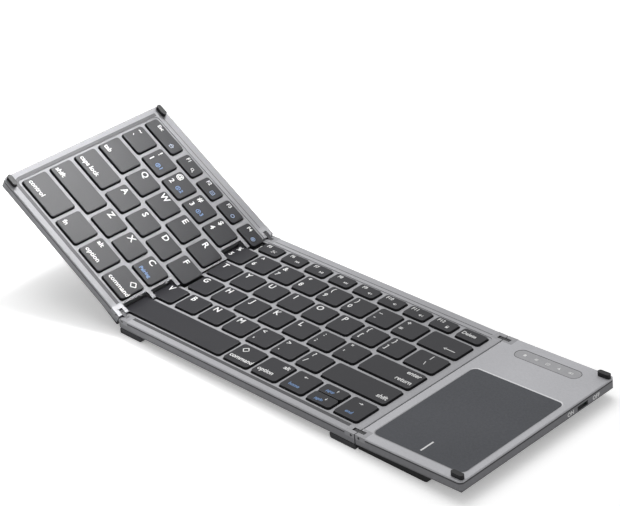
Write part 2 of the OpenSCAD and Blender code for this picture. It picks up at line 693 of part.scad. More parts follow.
module left_case() color(case_color) left_leaf() difference() {
    union() {
        difference() {
            intersection() {
                prism([case_z, plate_z]) left_plan();
                along_x([0, left_w], bottom_bevel(-half_d, half_d, [case_z, plate_z], case_bevel));
                along_y([-half_d, half_d], bottom_bevel(-past, left_w, [case_z, plate_z], case_bevel));
            }
            prism([floor_z, plate_z + past]) left_plan(wall);
        }
        hinge_blocks();
        for (p = left_posts) translate([p[0], p[1], case_z + floor_t / 2])
            cylinder(h = key_plate_z - case_z - floor_t / 2, r = post_r);
    }
    for (c = leaf_cells) deep_well(c);
    for (row = rows) seam_passage(row, [-past, leaf_key(row, 0)[0] + past], [well_z, plate_z + past]);
    bracket_pocket([bracket_z, deck_z]);
    ribbon_window(left_ribbon_y);
    screw_bores(left_screw_x);
    strip_channel(left_w);
}
module left_key_plate() color(steel_color) left_leaf() difference() {
    prism([key_plate_z, key_plate_z + key_plate_t]) left_plan(wall + inner_gap);
    bracket_pocket_clear();
    boss_passages(left_screw_x);
    for (c = leaf_cells) translate([(c[0] + c[1]) / 2, (c[2] + c[3]) / 2, 0])
        cylinder(h = deck_z, r = dome_r / 2);
}
module left_domes() color(black_color) left_leaf() {
    prism([well_z - sheet_t, well_z]) difference() {
        left_plan(wall + inner_gap + sheet_inset / 2);
        block_corners();
        for (x = left_screw_x, y = screw_rows) translate([x, y]) circle(boss_r + inner_gap);
    }
    for (c = leaf_cells) dome(c);
}
module left_brackets() left_leaf() bracket();
module bumpers(w) color(black_color) {
    bumper_top = deck_z + 2 * (pin_offset - pin_depth) - bumper_air;
    both_ends() translate([w - bumper_x, bumper_y - half_d, 0]) {
        prism([deck_z, bumper_top])
            rounded([-bumper_l / 2, bumper_l / 2], [-bumper_w / 2, bumper_w / 2], bumper_w / 2 - hair);
        translate([0, 0, plate_z]) cylinder(h = deck_t, r = plug_r);
    }
    prism([case_z - strip_proud, case_z + floor_t / 2]) rounded(
        [w - strip_x - strip_w / 2 + inner_gap, w - strip_x + strip_w / 2 - inner_gap],
        [inner_gap - strip_l / 2, strip_l / 2 - inner_gap], strip_w / 2 - inner_gap - hair);
}
module left_bumpers() left_leaf() bumpers(left_w);
module left_wedge() color(black_color) left_leaf() intersection() {
    along_y([pod_inset - half_d, half_d - pod_inset], [
        [seam_gap, case_z], [seam_gap, 0], [seam_gap + wedge_t, 0], [wedge_slope, case_z - wedge_t],
        [wedge_l - wedge_t, case_z - wedge_t], [wedge_l, case_z]
    ]);
    prism([-past, case_z + past]) left_plan();
}
module left_screws() color(steel_color) left_leaf() screws(left_screw_x);

// Right leaf
module right_deck() color(deck_color) right_leaf() difference() {
    union() {
        difference() {
            intersection() {
                prism([plate_z, deck_z]) leaf_plan(right_w);
                along_x([0, right_w], top_bevel(-half_d, half_d, [plate_z, deck_z], deck_bevel));
                along_y([-half_d, half_d], top_bevel(seam_gap, right_w, [plate_z, deck_z], deck_bevel));
            }
            prism([plate_z - past, deck_z + past]) pad_outline(pad_gap);
            window_cut([plate_z - past, deck_z + past], inner_gap / 3);
            bracket_pocket([plate_z - past, deck_z + past]);
            translate([right_w - bumper_x, 0, 0]) bumper_holes();
        }
        bosses(right_screw_x, [floor_z, plate_z]);
    }
    screw_bores(right_screw_x);
}
module window_cut(z, gap) translate([window_x, half_d - window_y, 0]) prism(z)
    rounded([-window_l / 2 - gap, window_l / 2 + gap], [-window_w / 2 - gap, window_w / 2 + gap],
        window_w / 2 + gap - hair);
module pad_outline(gap) rounded([pad_at[0] - gap, pad_at[1] + gap], [pad_front - gap, pad_back + gap],
    pad_r + gap);
module bead(r) translate([pad_at[0] + pad_rim, bead_y, pad_board_z]) rotate([0, 90, 0])
    cylinder(h = pad_at[1] - pad_at[0] - 2 * pad_rim, r = r);
module right_case() color(case_color) right_leaf() difference() {
    union() {
        difference() {
            intersection() {
                prism([case_z, plate_z]) leaf_plan(right_w);
                along_x([0, right_w], bottom_bevel(-half_d, half_d, [case_z, plate_z], case_bevel));
                along_y([-half_d, half_d], bottom_bevel(-past, right_w, [case_z, plate_z], case_bevel));
            }
            prism([floor_z, plate_z + past]) leaf_plan(right_w, wall);
        }
        hinge_blocks();
        // A rib that carries the touchpad's back edge, and a post that stops its click
        box([pad_at[0] + pad_rim, pad_at[1] - pad_rim], [pad_back - pad_rim, pad_back],
            [case_z + floor_t / 2, pad_board_z - bead_fit]);
        translate([pad_mid, pad_front + tact_w, case_z + floor_t / 2])
            cylinder(h = pad_board_z - tact_h - pad_click - case_z - floor_t / 2, r = post_r);
    }
    bead(bead_r + bead_fit);
    prism([pad_z - pad_t - pad_click - inner_gap, deck_z]) pad_outline(pad_gap);
    bracket_pocket([bracket_z, deck_z]);
    ribbon_window(right_ribbon_y);
    screw_bores(right_screw_x);
    strip_channel(right_w);
    box([battery_at[0] - inner_gap, battery_at[1] + inner_gap],
        [battery_front - inner_gap, battery_back + inner_gap], [case_z - past, floor_z + past]);
    box([right_w - wall - past, right_w + past], [switch_mid - switch_l / 2, switch_mid + switch_l / 2],
        [switch_z - switch_h / 2, switch_z + switch_h / 2]);
    translate([socket_x, half_d + past, socket_z]) rotate([90, 0, 0])
        linear_extrude(wall + 2 * past) socket_outline(socket_fit);
}
socket_z = board_z + board_t + socket_h / 2;
module socket_outline(grow) rounded([-socket_w / 2 - grow, socket_w / 2 + grow],
    [-socket_h / 2 - grow, socket_h / 2 + grow], socket_h / 2 + grow - hair);
function pod_floor(x, t) = table_z(x) + t;
// Side view of the pod: flat on the table, then rounded up to the case
function pod_outline(t) = concat(
    [[seam_gap + t, case_z + (t > 0 ? past : 0)], [seam_gap + t, pod_floor(seam_gap + t, t)]],
    [for (k = [0:pod_arc]) let (a = 90 * k / pod_arc, h = case_z - table_z(pod_l))
        [pod_l + (pod_end - t) * sin(a), case_z - (h - t) * cos(a)]],
    t > 0 ? [[pod_l + pod_end - t, case_z + past]] : []);
module battery_cover() color(black_color) right_leaf() difference() {
    side = pod_inset + pod_t + pod_channel;
    along_y([pod_inset - half_d, half_d - pod_inset], pod_outline(0));
    along_y([side - half_d, half_d - side], pod_outline(pod_t));
    both_ends() box([-past, pod_l + pod_end], [-half_d, pod_inset + pod_channel - half_d],
        [case_z - pod_lip, case_z + past]);
}
module battery() color([0.75, 0.75, 0.7]) right_leaf() {
    z = table_z(battery_at[1]) + pod_t + inner_gap + battery_w * sin(right_angle);
    box(battery_at, [battery_front, battery_back], [z, z + battery_h]);
    box([battery_at[0] + tab_inset, battery_at[1] - tab_inset], [battery_back, battery_back + tab_l],
        [floor_z + inner_gap, floor_z + inner_gap + tab_h]);
}
module right_board() color(board_color) right_leaf() {
    top = board_z + board_t;
    difference() {
        box([wall + seam_gap + past, right_w - wall - 2 * inner_gap], [board_front, board_back],
            [board_z, top]);
        ribbon_notch();
        box([0, bracket_l + wall + inner_gap], [half_d - bracket_d - bracket_lip - inner_gap, half_d],
            [0, deck_z]);
        box([right_w - wall - knob_back - inner_gap, right_w],
            [switch_mid - switch_l / 2, switch_mid + switch_l / 2], [0, deck_z]);
    }
    for (x = lamp_x) translate([x, half_d - window_y, top]) cylinder(h = lamp_h, r = lamp_r);
    // Switch body behind the knob, the controller and the charging chip
    box([right_w - wall - knob_back - knob_mount - inner_gap, right_w - wall - knob_back - inner_gap],
        [switch_mid - switch_l / 2, switch_mid + switch_l / 2], [top, switch_z + switch_h / 2]);
    box([window_x, window_x + chip_w], [board_front + chip_w / 2, board_front + 1.5 * chip_w],
        [top, top + chip_h]);
    box([socket_x - chip_w, socket_x - chip_w / 2], [board_front + 2 * chip_w, board_front + 2.5 * chip_w],
        [top, top + chip_h]);
}
module ribbon_notch() box([0, ribbon_half + inner_gap],
    [right_ribbon_y - inner_gap, right_ribbon_y + ribbon_w + inner_gap], [0, deck_z]);
module charge_socket() color(steel_color) right_leaf()
    translate([socket_x, half_d - socket_fit, socket_z]) rotate([90, 0, 0]) {
        difference() {
            linear_extrude(socket_l) socket_outline(0);
            translate([0, 0, -past]) linear_extrude(socket_l) socket_outline(-socket_t);
        }
        translate([0, 0, tongue_back]) linear_extrude(socket_l - tongue_back)
            square([tongue_w, tongue_t], center = true);
    }
module touchpad() color([0.36, 0.36, 0.38]) right_leaf() difference() {
    prism([pad_z - pad_t, pad_z]) pad_outline(0);
    // Engraved line between the two button zones
    box([pad_mid - mark_w / 2, pad_mid + mark_w / 2], [pad_front + mark_y[0], pad_front + mark_y[1]],
        [pad_z - pad_drop, pad_z + past]);
}
module touchpad_board() color(board_color) right_leaf() {
    prism([pad_board_z, pad_board_z + pad_board_t]) rounded([pad_at[0] + pad_rim, pad_at[1] - pad_rim],
        [pad_front + pad_rim, pad_back - bead_fit], pad_r - pad_rim);
    bead(bead_r);
    translate([pad_mid, pad_front + tact_w, 0]) {
        prism([pad_board_z - tact_h + tact_stem, pad_board_z]) square(tact_w, center = true);
        translate([0, 0, pad_board_z - tact_h + hair]) cylinder(h = tact_h, r = post_r - tact_stem);
    }
}
module led_window() color([0.55, 0.55, 0.58]) right_leaf() {
    pipe_z = board_z + board_t + lamp_h + window_drop;
    window_cut([plate_z, deck_z - window_drop], 0);
    for (x = lamp_x) translate([x, half_d - window_y, pipe_z])
        cylinder(h = deck_z - window_drop - pipe_z - deck_t / 2, r = lamp_r);
}
module switch_knob() color(black_color) right_leaf() difference() {
    y = [switch_mid - switch_l / 2 + knob_end, switch_mid - switch_l / 2 + knob_end + knob_l];
    z = [switch_z - switch_h / 2 + knob_fit, switch_z + switch_h / 2 - knob_fit];
    box([right_w - wall - knob_back, right_w - knob_fit], y, z);
    for (k = [1:knob_grooves]) translate([0, y[0] + k * knob_l / (knob_grooves + 1), 0])
        box([right_w - 3 * knob_fit, right_w], [-knob_fit, knob_fit], [z[0] - past, z[1] + past]);
}
module right_brackets() right_leaf() bracket();
module right_bumpers() right_leaf() bumpers(right_w);
module right_screws() color(steel_color) right_leaf() screws(right_screw_x);

// Keys of the left leaf
module f_keys_left() leaf_caps(leaf_f);
module number_keys_left() leaf_caps(leaf_number);
module tab() leaf_caps(leaf_tab);
module q_row_left() leaf_caps(leaf_q);
module caps_lock() leaf_caps(leaf_caps);
module a_row_left() leaf_caps(leaf_a);
module shift_left() leaf_caps(leaf_shift);
module z_row_left() leaf_caps(leaf_z);
module modifier_keys_left() leaf_caps(leaf_modifiers);

// Keys of the middle section
module f_keys_middle() middle_caps(middle_f);
module delete() middle_caps(middle_delete);
module number_keys_middle() middle_caps(middle_number);
module backspace() middle_caps(middle_backspace);
module t_row() middle_caps(middle_t);
module g_row() middle_caps(middle_g);
module enter() middle_caps(middle_enter);
module v_row() middle_caps(middle_v);
module shift_right() middle_caps(middle_shift);
module space() middle_caps(middle_space);
module modifier_keys_right() middle_caps(middle_modifiers);
module arrow_left() middle_caps([left_slot]);
module arrow_up() middle_caps([up_cell]);
module arrow_down() middle_caps([down_cell]);
module arrow_right() middle_caps([right_slot]);

middle_deck();
middle_case();
middle_key_plate();
middle_domes();
main_board();
middle_brackets();
middle_feet();
middle_screws();
left_links();
left_pins();
left_ribbon();
right_links();
right_pins();
right_ribbon();
left_deck();
left_case();
left_key_plate();
left_domes();
left_brackets();
left_bumpers();
left_wedge();
left_screws();
right_deck();
right_case();
battery_cover();
battery();
right_board();
charge_socket();
touchpad();
touchpad_board();
led_window();
switch_knob();
right_brackets();
right_bumpers();
right_screws();
f_keys_left();
number_keys_left();
tab();
q_row_left();
caps_lock();
a_row_left();
shift_left();
z_row_left();
modifier_keys_left();
f_keys_middle();
delete();
number_keys_middle();
backspace();
t_row();
g_row();
enter();
v_row();
shift_right();
space();
modifier_keys_right();
arrow_left();
arrow_up();
arrow_down();
arrow_right();
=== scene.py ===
import json
import math
import bpy
import numpy as np
from mathutils import Matrix, Vector

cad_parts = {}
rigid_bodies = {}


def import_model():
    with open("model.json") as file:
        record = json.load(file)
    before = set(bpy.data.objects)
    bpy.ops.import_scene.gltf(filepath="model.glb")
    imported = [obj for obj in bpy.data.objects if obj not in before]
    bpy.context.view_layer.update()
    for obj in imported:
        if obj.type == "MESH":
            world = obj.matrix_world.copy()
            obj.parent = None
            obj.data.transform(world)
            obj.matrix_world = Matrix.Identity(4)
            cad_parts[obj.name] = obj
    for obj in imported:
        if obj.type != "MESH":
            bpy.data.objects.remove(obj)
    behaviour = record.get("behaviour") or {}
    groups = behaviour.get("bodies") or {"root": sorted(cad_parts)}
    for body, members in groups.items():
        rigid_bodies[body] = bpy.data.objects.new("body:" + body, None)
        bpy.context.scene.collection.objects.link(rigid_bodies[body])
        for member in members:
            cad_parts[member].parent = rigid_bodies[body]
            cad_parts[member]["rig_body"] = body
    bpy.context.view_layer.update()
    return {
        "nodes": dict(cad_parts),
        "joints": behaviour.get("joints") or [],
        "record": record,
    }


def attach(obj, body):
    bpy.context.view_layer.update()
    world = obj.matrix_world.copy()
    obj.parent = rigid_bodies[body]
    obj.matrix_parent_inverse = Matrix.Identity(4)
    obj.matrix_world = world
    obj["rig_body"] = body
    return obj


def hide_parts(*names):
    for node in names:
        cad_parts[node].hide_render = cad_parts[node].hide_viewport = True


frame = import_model()
nodes = frame["nodes"]
mm = 0.001     # the object's sizes below are in mm, the stage's in metres
print("frame loaded,", len(nodes), "solids")


# directions of each section, read from the joints

jointOf = {joint["child"]: joint for joint in frame["joints"]}
bodyOf = {name: obj["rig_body"] for name, obj in nodes.items()}


def sectionAxes(up):
    # rows: across the board, towards the back, out of the deck
    up = np.array(up, float)
    return np.array([np.cross([0, 1, 0], up), [0, 1, 0], up])


def keyAxes(node):
    # a key travels into the deck, against the section's up direction
    return sectionAxes(-np.array(jointOf[bodyOf[node]]["axis"], float))


middleAxes = sectionAxes([0, 0, 1])
leftAxes = keyAxes("tab")
rightAcross = np.array(jointOf["pad"]["axis"], float)     # the touchpad tips about its back edge
rightAxes = sectionAxes(np.cross(rightAcross, [0, 1, 0]))


# sizes and places, read from the solids

mergeStep = 0.002     # corners that round to the same multiples of this are one, mm


def cornersOf(node, axes):
    # the solid's corners as distances along the three axes
    mesh = nodes[node].data
    co = np.zeros(len(mesh.vertices) * 3)
    mesh.vertices.foreach_get("co", co)
    return co.reshape(-1, 3) @ axes.T / mm


def sectionBox(node, axes):
    points = cornersOf(node, axes)
    return points.min(axis=0), points.max(axis=0)


def solidBoxes(node, axes):
    # equal corners are merged, each triangle takes the lowest label of its corners until
    # nothing changes, and each label left is one solid; boxes come back from left to right
    mesh = nodes[node].data
    mesh.calc_loop_triangles()
    triangles = np.zeros(len(mesh.loop_triangles) * 3, int)
    mesh.loop_triangles.foreach_get("vertices", triangles)
    points = cornersOf(node, axes)
    steps = np.round(points / mergeStep).astype(int)
    _, same = np.unique(steps, axis=0, return_inverse=True)
    same = same.ravel()
    triangles = same[triangles.reshape(-1, 3)]
    label = np.arange(same.max() + 1)
    while True:
        lower = label.copy()
        np.minimum.at(lower, triangles.ravel(), np.repeat(label[triangles].min(axis=1), 3))
        if (lower == label).all():
            break
        label = lower
    groups = [points[label[same] == k] for k in np.unique(label)]
    boxes = np.array([[g.min(axis=0), g.max(axis=0)] for g in groups])
    return boxes[np.argsort(boxes[:, 0, 0])]


def boxesAt(node, axes, end):
    # boxes of a node's solids at the front (end -1) or at the back (end 1)
    boxes = solidBoxes(node, axes)
    return boxes[boxes[:, 0, 1] * end > 0]


# mesh helpers

def makePiece(name, points, faces, axes, body, material, smooth=35.0):
    # points are distances along the section's axes, so the piece needs no placing;
    # faces that meet at less than smooth degrees are shaded as one
    mesh = bpy.data.meshes.new(name)
    placed = np.asarray(points) * mm @ axes
    mesh.from_pydata(placed.tolist(), [], [list(map(int, f)) for f in faces])
    mesh.materials.append(material)
    mesh.update()
    if smooth:
        mesh.polygons.foreach_set("use_smooth", [True] * len(mesh.polygons))
        mesh.set_sharp_from_angle(angle=math.radians(smooth))
    obj = bpy.data.objects.new(name, mesh)
    bpy.context.scene.collection.objects.link(obj)
    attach(obj, body)
    return obj


def addAttribute(obj, name, domain, values):
    obj.data.attributes.new(name, "FLOAT", domain).data.foreach_set("value", values)


def roundedRing(half, radius, steps):
    # four quarter circles around the corners of a rectangle, counter-clockwise
    turn = np.linspace(0, math.pi / 2, steps)
    start = np.arange(4)[:, None] * math.pi / 2
    angle = (start + turn).ravel()
    signX = np.repeat([1, -1, -1, 1], steps)
    signY = np.repeat([1, 1, -1, -1], steps)
    return np.stack([signX * (half[0] - radius) + radius * np.cos(angle),
                     signY * (half[1] - radius) + radius * np.sin(angle)], axis=1)


def atHeight(outline, height):
    # a flat outline as points at one height
    return np.column_stack([outline, np.full(len(outline), height)])


def ringFaces(rings, around, closeRings=False):
    # quads between neighbouring rings of a grid that wraps around
    r = np.arange(rings if closeRings else rings - 1)[:, None]
    a = np.arange(around)[None, :]
    nextR, nextA = (r + 1) % rings, (a + 1) % around
    quads = [r * around + a, r * around + nextA, nextR * around + nextA, nextR * around + a]
    return np.stack(np.broadcast_arrays(*quads), axis=-1).reshape(-1, 4)


def outward(points, quads):
    # the volume under the quads, as a sum of a . (b x c + c x d), is positive if they look out
    a, b, c, d = points[quads].transpose(1, 0, 2)
    volume = (a * (np.cross(b, c) + np.cross(c, d))).sum()
    return quads if volume > 0 else quads[:, ::-1]


# shader helpers

def plug(tree, value, socket):
    # a wire is linked, a plain value is set
    if isinstance(value, Wire):
        tree.links.new(value.socket, socket)
    else:
        socket.default_value = value


class Wire:
    # a socket that can be used in sums and products with numbers and other sockets
    def __init__(self, tree, socket):
        self.tree = tree
        self.socket = socket

    def join(self, operation, other, swap=False):
        node = self.tree.nodes.new("ShaderNodeMath")
        node.operation = operation
        for socket, value in zip(node.inputs, (other, self) if swap else (self, other)):
            plug(self.tree, value, socket)
        return Wire(self.tree, node.outputs[0])

    def __add__(self, other):
        return self.join("ADD", other)

    def __radd__(self, other):
        return self.join("ADD", other, swap=True)

    def __sub__(self, other):
        return self.join("SUBTRACT", other)

    def __rsub__(self, other):
        return self.join("SUBTRACT", other, swap=True)

    def __mul__(self, other):
        return self.join("MULTIPLY", other)

    def __rmul__(self, other):
        return self.join("MULTIPLY", other, swap=True)


class Nodes:
    # a node tree; node() adds any node, its settings first, then its sockets by name or number
    def __init__(self, tree):
        self.tree = tree

    def node(self, kind, settings=None, sockets=None, out=0):
        made = self.tree.nodes.new("ShaderNode" + kind)
        for key, value in (settings or {}).items():
            setattr(made, key, value)
        for key, value in (sockets or {}).items():
            plug(self.tree, value, made.inputs[key])
        return Wire(self.tree, made.outputs[out])


class Finish(Nodes):
    # a material with one Principled shader; uniform holds what is the same all over
    def __init__(self, name, uniform=None):
        self.material = bpy.data.materials.new(name)
        self.material.use_nodes = True
        super().__init__(self.material.node_tree)
        self.feed(uniform or {})

    def feed(self, sockets):
        for key, value in sockets.items():
            plug(self.tree, value, self.tree.nodes["Principled BSDF"].inputs[key])

    def coords(self):
        return self.node("TexCoord", out="Object")

    def mask(self, name):
        # a value from 0 to 1 that the mesh carries
        return self.node("Attribute", {"attribute_name": name}, out="Fac")

    def noise(self, size, stretch=(1, 1, 1), detail=2.0):
        # spots of about this size, on object coordinates stretched along the board's axes
        place = self.node("Mapping", sockets={"Vector": self.coords(), "Scale": stretch})
        return self.node("TexNoise", sockets={"Vector": place, "Scale": 1 / (size * mm), "Detail": detail})

    def blend(self, factor, first, second, kind="MIX"):
        # sockets 0, 6 and 7 of a Mix node are its factor and its two colours
        first, second = (c if isinstance(c, Wire) else (*c, 1) for c in (first, second))
        settings = {"data_type": "RGBA", "blend_type": kind}
        return self.node("Mix", settings, {0: factor, 6: first, 7: second}, out=2)

    def bump(self, height, depth):
        bump = self.node("Bump", sockets={"Height": height, "Distance": depth * mm, "Strength": 1.0})
        self.feed({"Normal": bump})


def between(share, ends):
    # from the first end to the second as share goes from 0 to 1
    return share * (ends[1] - ends[0]) + ends[0]


def mottle(fine, coarse, drift, look):
    # three noises in their shares, stretched about the middle: (sum - 0.5) * contrast + 0.5
    a, b, c = look["shares"]
    return (fine * a + coarse * b + drift * c - 0.5) * look["contrast"] + 0.5


# finishes of the solids: colours are linear, roughness runs between two values, depth is the bump's

grainMix = {"shares": (0.5, 0.25, 0.25), "contrast": 2.2, "coarser": 3.5, "drift": 38}
grainLooks = {
    "foot": {"name": "footMoulding", "dark": (0.055, 0.055, 0.058), "light": (0.085, 0.085, 0.09),
             "grain": 0.5, "roughness": (0.45, 0.6), "depth": 0.012,
             "uniform": {"Specular IOR Level": 0.3}},
    "black": {"name": "blackMoulding", "dark": (0.012, 0.012, 0.013), "light": (0.022, 0.022, 0.024),
              "grain": 0.5, "roughness": (0.45, 0.6), "depth": 0.012,
              "uniform": {"Specular IOR Level": 0.25}},
    "rubber": {"name": "softRubber", "dark": (0.006, 0.006, 0.007), "light": (0.012, 0.012, 0.013),
               "grain": 0.3, "roughness": (0.38, 0.5), "depth": 0.01,
               "uniform": {"Specular IOR Level": 0.25}},
    "bracket": {"name": "bracketPlate", "dark": (0.21, 0.21, 0.219), "light": (0.30, 0.30, 0.312),
                "grain": 0.3, "roughness": (0.4, 0.55), "depth": 0.006, "uniform": {"Metallic": 0.6}},
    # the band beside the key beds and along the back rims is painted shade; the window's ring has the same
    # finish
    "band": {"name": "bedBand", "dark": (0.048, 0.048, 0.051), "light": (0.075, 0.075, 0.08),
             "grain": 0.35, "roughness": (0.5, 0.62), "depth": 0.006, "uniform": {"Metallic": 0.35}},
    "steel": {"name": "satinSteel", "dark": (0.5, 0.5, 0.51), "light": (0.66, 0.66, 0.67),
              "grain": 0.25, "stretch": (0.4, 3, 3), "roughness": (0.22, 0.38), "depth": 0.004,
              "uniform": {"Metallic": 1.0}},
    "pad": {"name": "touchSurface", "dark": (0.048, 0.051, 0.058), "light": (0.090, 0.093, 0.105),
            "grain": 0.3, "roughness": (0.5, 0.6), "depth": 0.004,
            "uniform": {"Specular IOR Level": 0.2}},
    "link": {"name": "linkSteel", "dark": (0.03, 0.03, 0.032), "light": (0.055, 0.055, 0.058),
             "grain": 0.3, "roughness": (0.35, 0.5), "depth": 0.006, "uniform": {"Metallic": 0.7}},
    "board": {"name": "boardLacquer", "dark": (0.012, 0.07, 0.03), "light": (0.02, 0.11, 0.05),
              "grain": 1.2, "roughness": (0.25, 0.4), "depth": 0.01},
    "window": {"name": "smokedWindow", "dark": (0.33, 0.33, 0.345), "light": (0.40, 0.40, 0.415),
               "grain": 1.0, "roughness": (0.2, 0.3), "depth": 0.002},
    "cell": {"name": "cellFoil", "dark": (0.5, 0.5, 0.48), "light": (0.62, 0.62, 0.59),
             "grain": 2.0, "roughness": (0.3, 0.45), "depth": 0.02, "uniform": {"Metallic": 0.8}},
    "ribbon": {"name": "flexRibbon", "dark": (0.035, 0.024, 0.014), "light": (0.06, 0.04, 0.022),
               "grain": 0.8, "roughness": (0.3, 0.45), "depth": 0.01},
}


def grainy(name, dark, light, grain, roughness, depth, stretch=(1, 1, 1), uniform=None):
    # fine grain that varies colour, gloss and height together, over a slow drift
    finish = Finish(name, uniform)
    fine = finish.noise(grain, stretch)
    coarse = finish.noise(grain * grainMix["coarser"], stretch, detail=1.0)
    drift = finish.noise(grainMix["drift"], detail=1.0)
    finish.feed({"Base Color": finish.blend(mottle(fine, coarse, drift, grainMix), dark, light),
                 "Roughness": between(fine, roughness)})
    finish.bump(fine, depth)
    return finish.material


# brushed across the board; for the studio's uneven light the left leaf's deck is painted darker, as painted
# shade, and the right leaf's lighter, as painted light
deckLook = {"grain": 0.4, "stretch": (1, 3.5, 1), "roughness": (0.54, 0.66), "depth": 0.006,
            "uniform": {"Metallic": 0.35}}
deckTint = (1, 1, 1.045)
deckTones = {
    "deck": {"name": "anodisedDeck", "dark": 0.27, "light": 0.39},
    "deckLeftShaded": {"name": "anodisedDeckShadedLeft", "dark": 0.20, "light": 0.29},
    "deckRightLit": {"name": "anodisedDeckLitRight", "dark": 0.35, "light": 0.49},
}


def deckPaint(name, dark, light):
    dark, light = (tuple(level * share for share in deckTint) for level in (dark, light))
    return grainy(name, dark, light, **deckLook)


caseLook = {
    "dark": (0.152, 0.152, 0.162), "light": (0.222, 0.222, 0.235),
    "grain": 0.4, "stretch": (0.35, 0.35, 2.5), "coarse": 1.5, "drift": 38,
    "shares": (0.6, 0.2, 0.2), "contrast": 2.0,
    "roughness": (0.42, 0.58), "depth": 0.01, "uniform": {"Metallic": 0.35},
    # the line where the deck plate ends, below the deck's top, and painted shade on the foot of the walls
    "joint": {"below": 0.8, "wide": 1.0, "colour": (0.008, 0.008, 0.009), "strength": 1.8, "most": 0.9},
    "edge": {"wide": 1.4, "colour": (0.03, 0.03, 0.032), "strength": 0.7},
}
cases = {
    "caseMiddle": ("satinCaseMiddle", middleAxes, "middle_deck", "middle_case"),
    "caseLeft": ("satinCaseLeft", leftAxes, "left_deck", "left_case"),
    "caseRight": ("satinCaseRight", rightAxes, "right_deck", "right_case"),
}


def casePaint(name, axes, deckNode, caseNode):
    # satin grey; with h as the height along the section's up direction,
    # joint = max(0, 1 - |h - h0| / wide) darkens the line under the deck plate, and
    # edge = clamp((low + wide - h) / wide) paints shade on the foot of the walls
    look = caseLook
    finish = Finish(name, look["uniform"])
    fine = finish.noise(look["grain"], look["stretch"])
    coarse = finish.noise(look["coarse"], detail=1.0)
    drift = finish.noise(look["drift"], detail=1.0)
    base = finish.blend(mottle(fine, coarse, drift, look), look["dark"], look["light"])
    height = finish.node("VectorMath", {"operation": "DOT_PRODUCT"},
                         {0: finish.coords(), 1: tuple(axes[2])}, out="Value")

    # painted shade: the foot of the walls is darker, where the lower edge turns from the light
    foot = look["edge"]
    low = sectionBox(caseNode, axes)[0][2]
    edge = ((low + foot["wide"]) * mm - height) * (1 / (foot["wide"] * mm))
    edge = edge.join("MAXIMUM", 0.0).join("MINIMUM", 1.0)
    shaded = finish.blend(edge * foot["strength"], base, foot["colour"])

    line = look["joint"]
    jointAt = sectionBox(deckNode, axes)[1][2] - line["below"]
    joint = 1 - (height - jointAt * mm).join("ABSOLUTE", 0.0) * (1 / (line["wide"] * mm))
    joint = (joint.join("MAXIMUM", 0.0) * line["strength"]).join("MINIMUM", line["most"])
    lined = finish.blend(joint, shaded, line["colour"])

    finish.feed({"Base Color": lined, "Roughness": between(fine, look["roughness"])})
    finish.bump(fine, look["depth"])
    return finish.material


keyLook = {
    "dark": (0.014, 0.014, 0.017), "light": (0.031, 0.031, 0.036),
    # the side walls' colour is painted shade, and the rounded edges' lighter colour is a painted highlight
    "wall": (0.006, 0.006, 0.007), "edgeHighlight": (0.13, 0.13, 0.138), "highlightShare": 0.7,
    "grain": 0.22, "grainShare": 0.8, "drift": 30,
    "roughness": (0.35, 0.45), "wallRougher": 0.25, "highlightSmoother": 0.05,
    "depth": 0.008, "uniform": {"Specular IOR Level": 0.2},
}


def keyPlastic():
    # matt moulded tops, side walls darkened by painted shade, rounded edges lightened by a painted highlight
    look = keyLook
    finish = Finish("keyPlastic", look["uniform"])
    side, edge = finish.mask("side"), finish.mask("edge")
    fine = finish.noise(look["grain"])
    mix = fine * look["grainShare"] + finish.noise(look["drift"], detail=1.0) * (1 - look["grainShare"])
    shadedWalls = finish.blend(side, finish.blend(mix, look["dark"], look["light"]), look["wall"])
    finish.feed({"Base Color": finish.blend(edge * look["highlightShare"], shadedWalls, look["edgeHighlight"]),
                 "Roughness": between(fine, look["roughness"]) + side * look["wallRougher"]
                 - edge * look["highlightSmoother"]})
    finish.bump(fine, look["depth"])
    return finish.material


legendLook = {
    "white": (0.82, 0.82, 0.82), "blue": (0.20, 0.32, 0.56),
    "grain": 0.3, "thin": (0.8, 0.8, 0.8), "full": (1, 1, 1), "fading": 0.25,
    "roughness": (0.45, 0.55), "uniform": {"Specular IOR Level": 0.1},
}


def legendPaint():
    # print that is slightly uneven; the mesh says how blue each mark is
    look = legendLook
    finish = Finish("legendPaint", look["uniform"])
    fine = finish.noise(look["grain"])
    base = finish.blend(finish.mask("blueness"), look["white"], look["blue"])
    uneven = finish.blend(fine, look["thin"], look["full"])
    finish.feed({"Base Color": finish.blend(look["fading"], base, uneven, "MULTIPLY"),
                 "Roughness": between(fine, look["roughness"])})
    return finish.material


rimLook = {
    "dark": (0.22, 0.22, 0.23), "light": (0.32, 0.32, 0.33), "glint": (0.62, 0.62, 0.64),
    "grain": 0.4, "roughness": (0.5, 0.6), "glintSmoother": 0.15, "uniform": {"Metallic": 0.5},
}


def rimMetal():
    # the chamfer round the touchpad: a painted glint at the back, where the slope catches the light, near the
    # deck's tone elsewhere
    look = rimLook
    finish = Finish("rimMetal", look["uniform"])
    paintedGlint = finish.mask("paintedGlint")
    fine = finish.noise(look["grain"])
    base = finish.blend(fine, look["dark"], look["light"])
    finish.feed({"Base Color": finish.blend(paintedGlint, base, look["glint"]),
                 "Roughness": between(fine, look["roughness"]) - paintedGlint * look["glintSmoother"]})
    return finish.material


finishes = {
    **{key: grainy(**look) for key, look in grainLooks.items()},
    **{key: deckPaint(**tones) for key, tones in deckTones.items()},
    **{key: casePaint(*parts) for key, parts in cases.items()},
    "keys": keyPlastic(), "paint": legendPaint(), "rim": rimMetal(),
}

# a solid has the finish that its material slot names, except these
finishOf = {part["node"]: part["material_slot"] for part in frame["record"]["subparts"]}
for name in finishOf:
    if name.endswith("brackets"):
        finishOf[name] = "bracket"
    if name.endswith(("links", "pins")):
        finishOf[name] = "link"
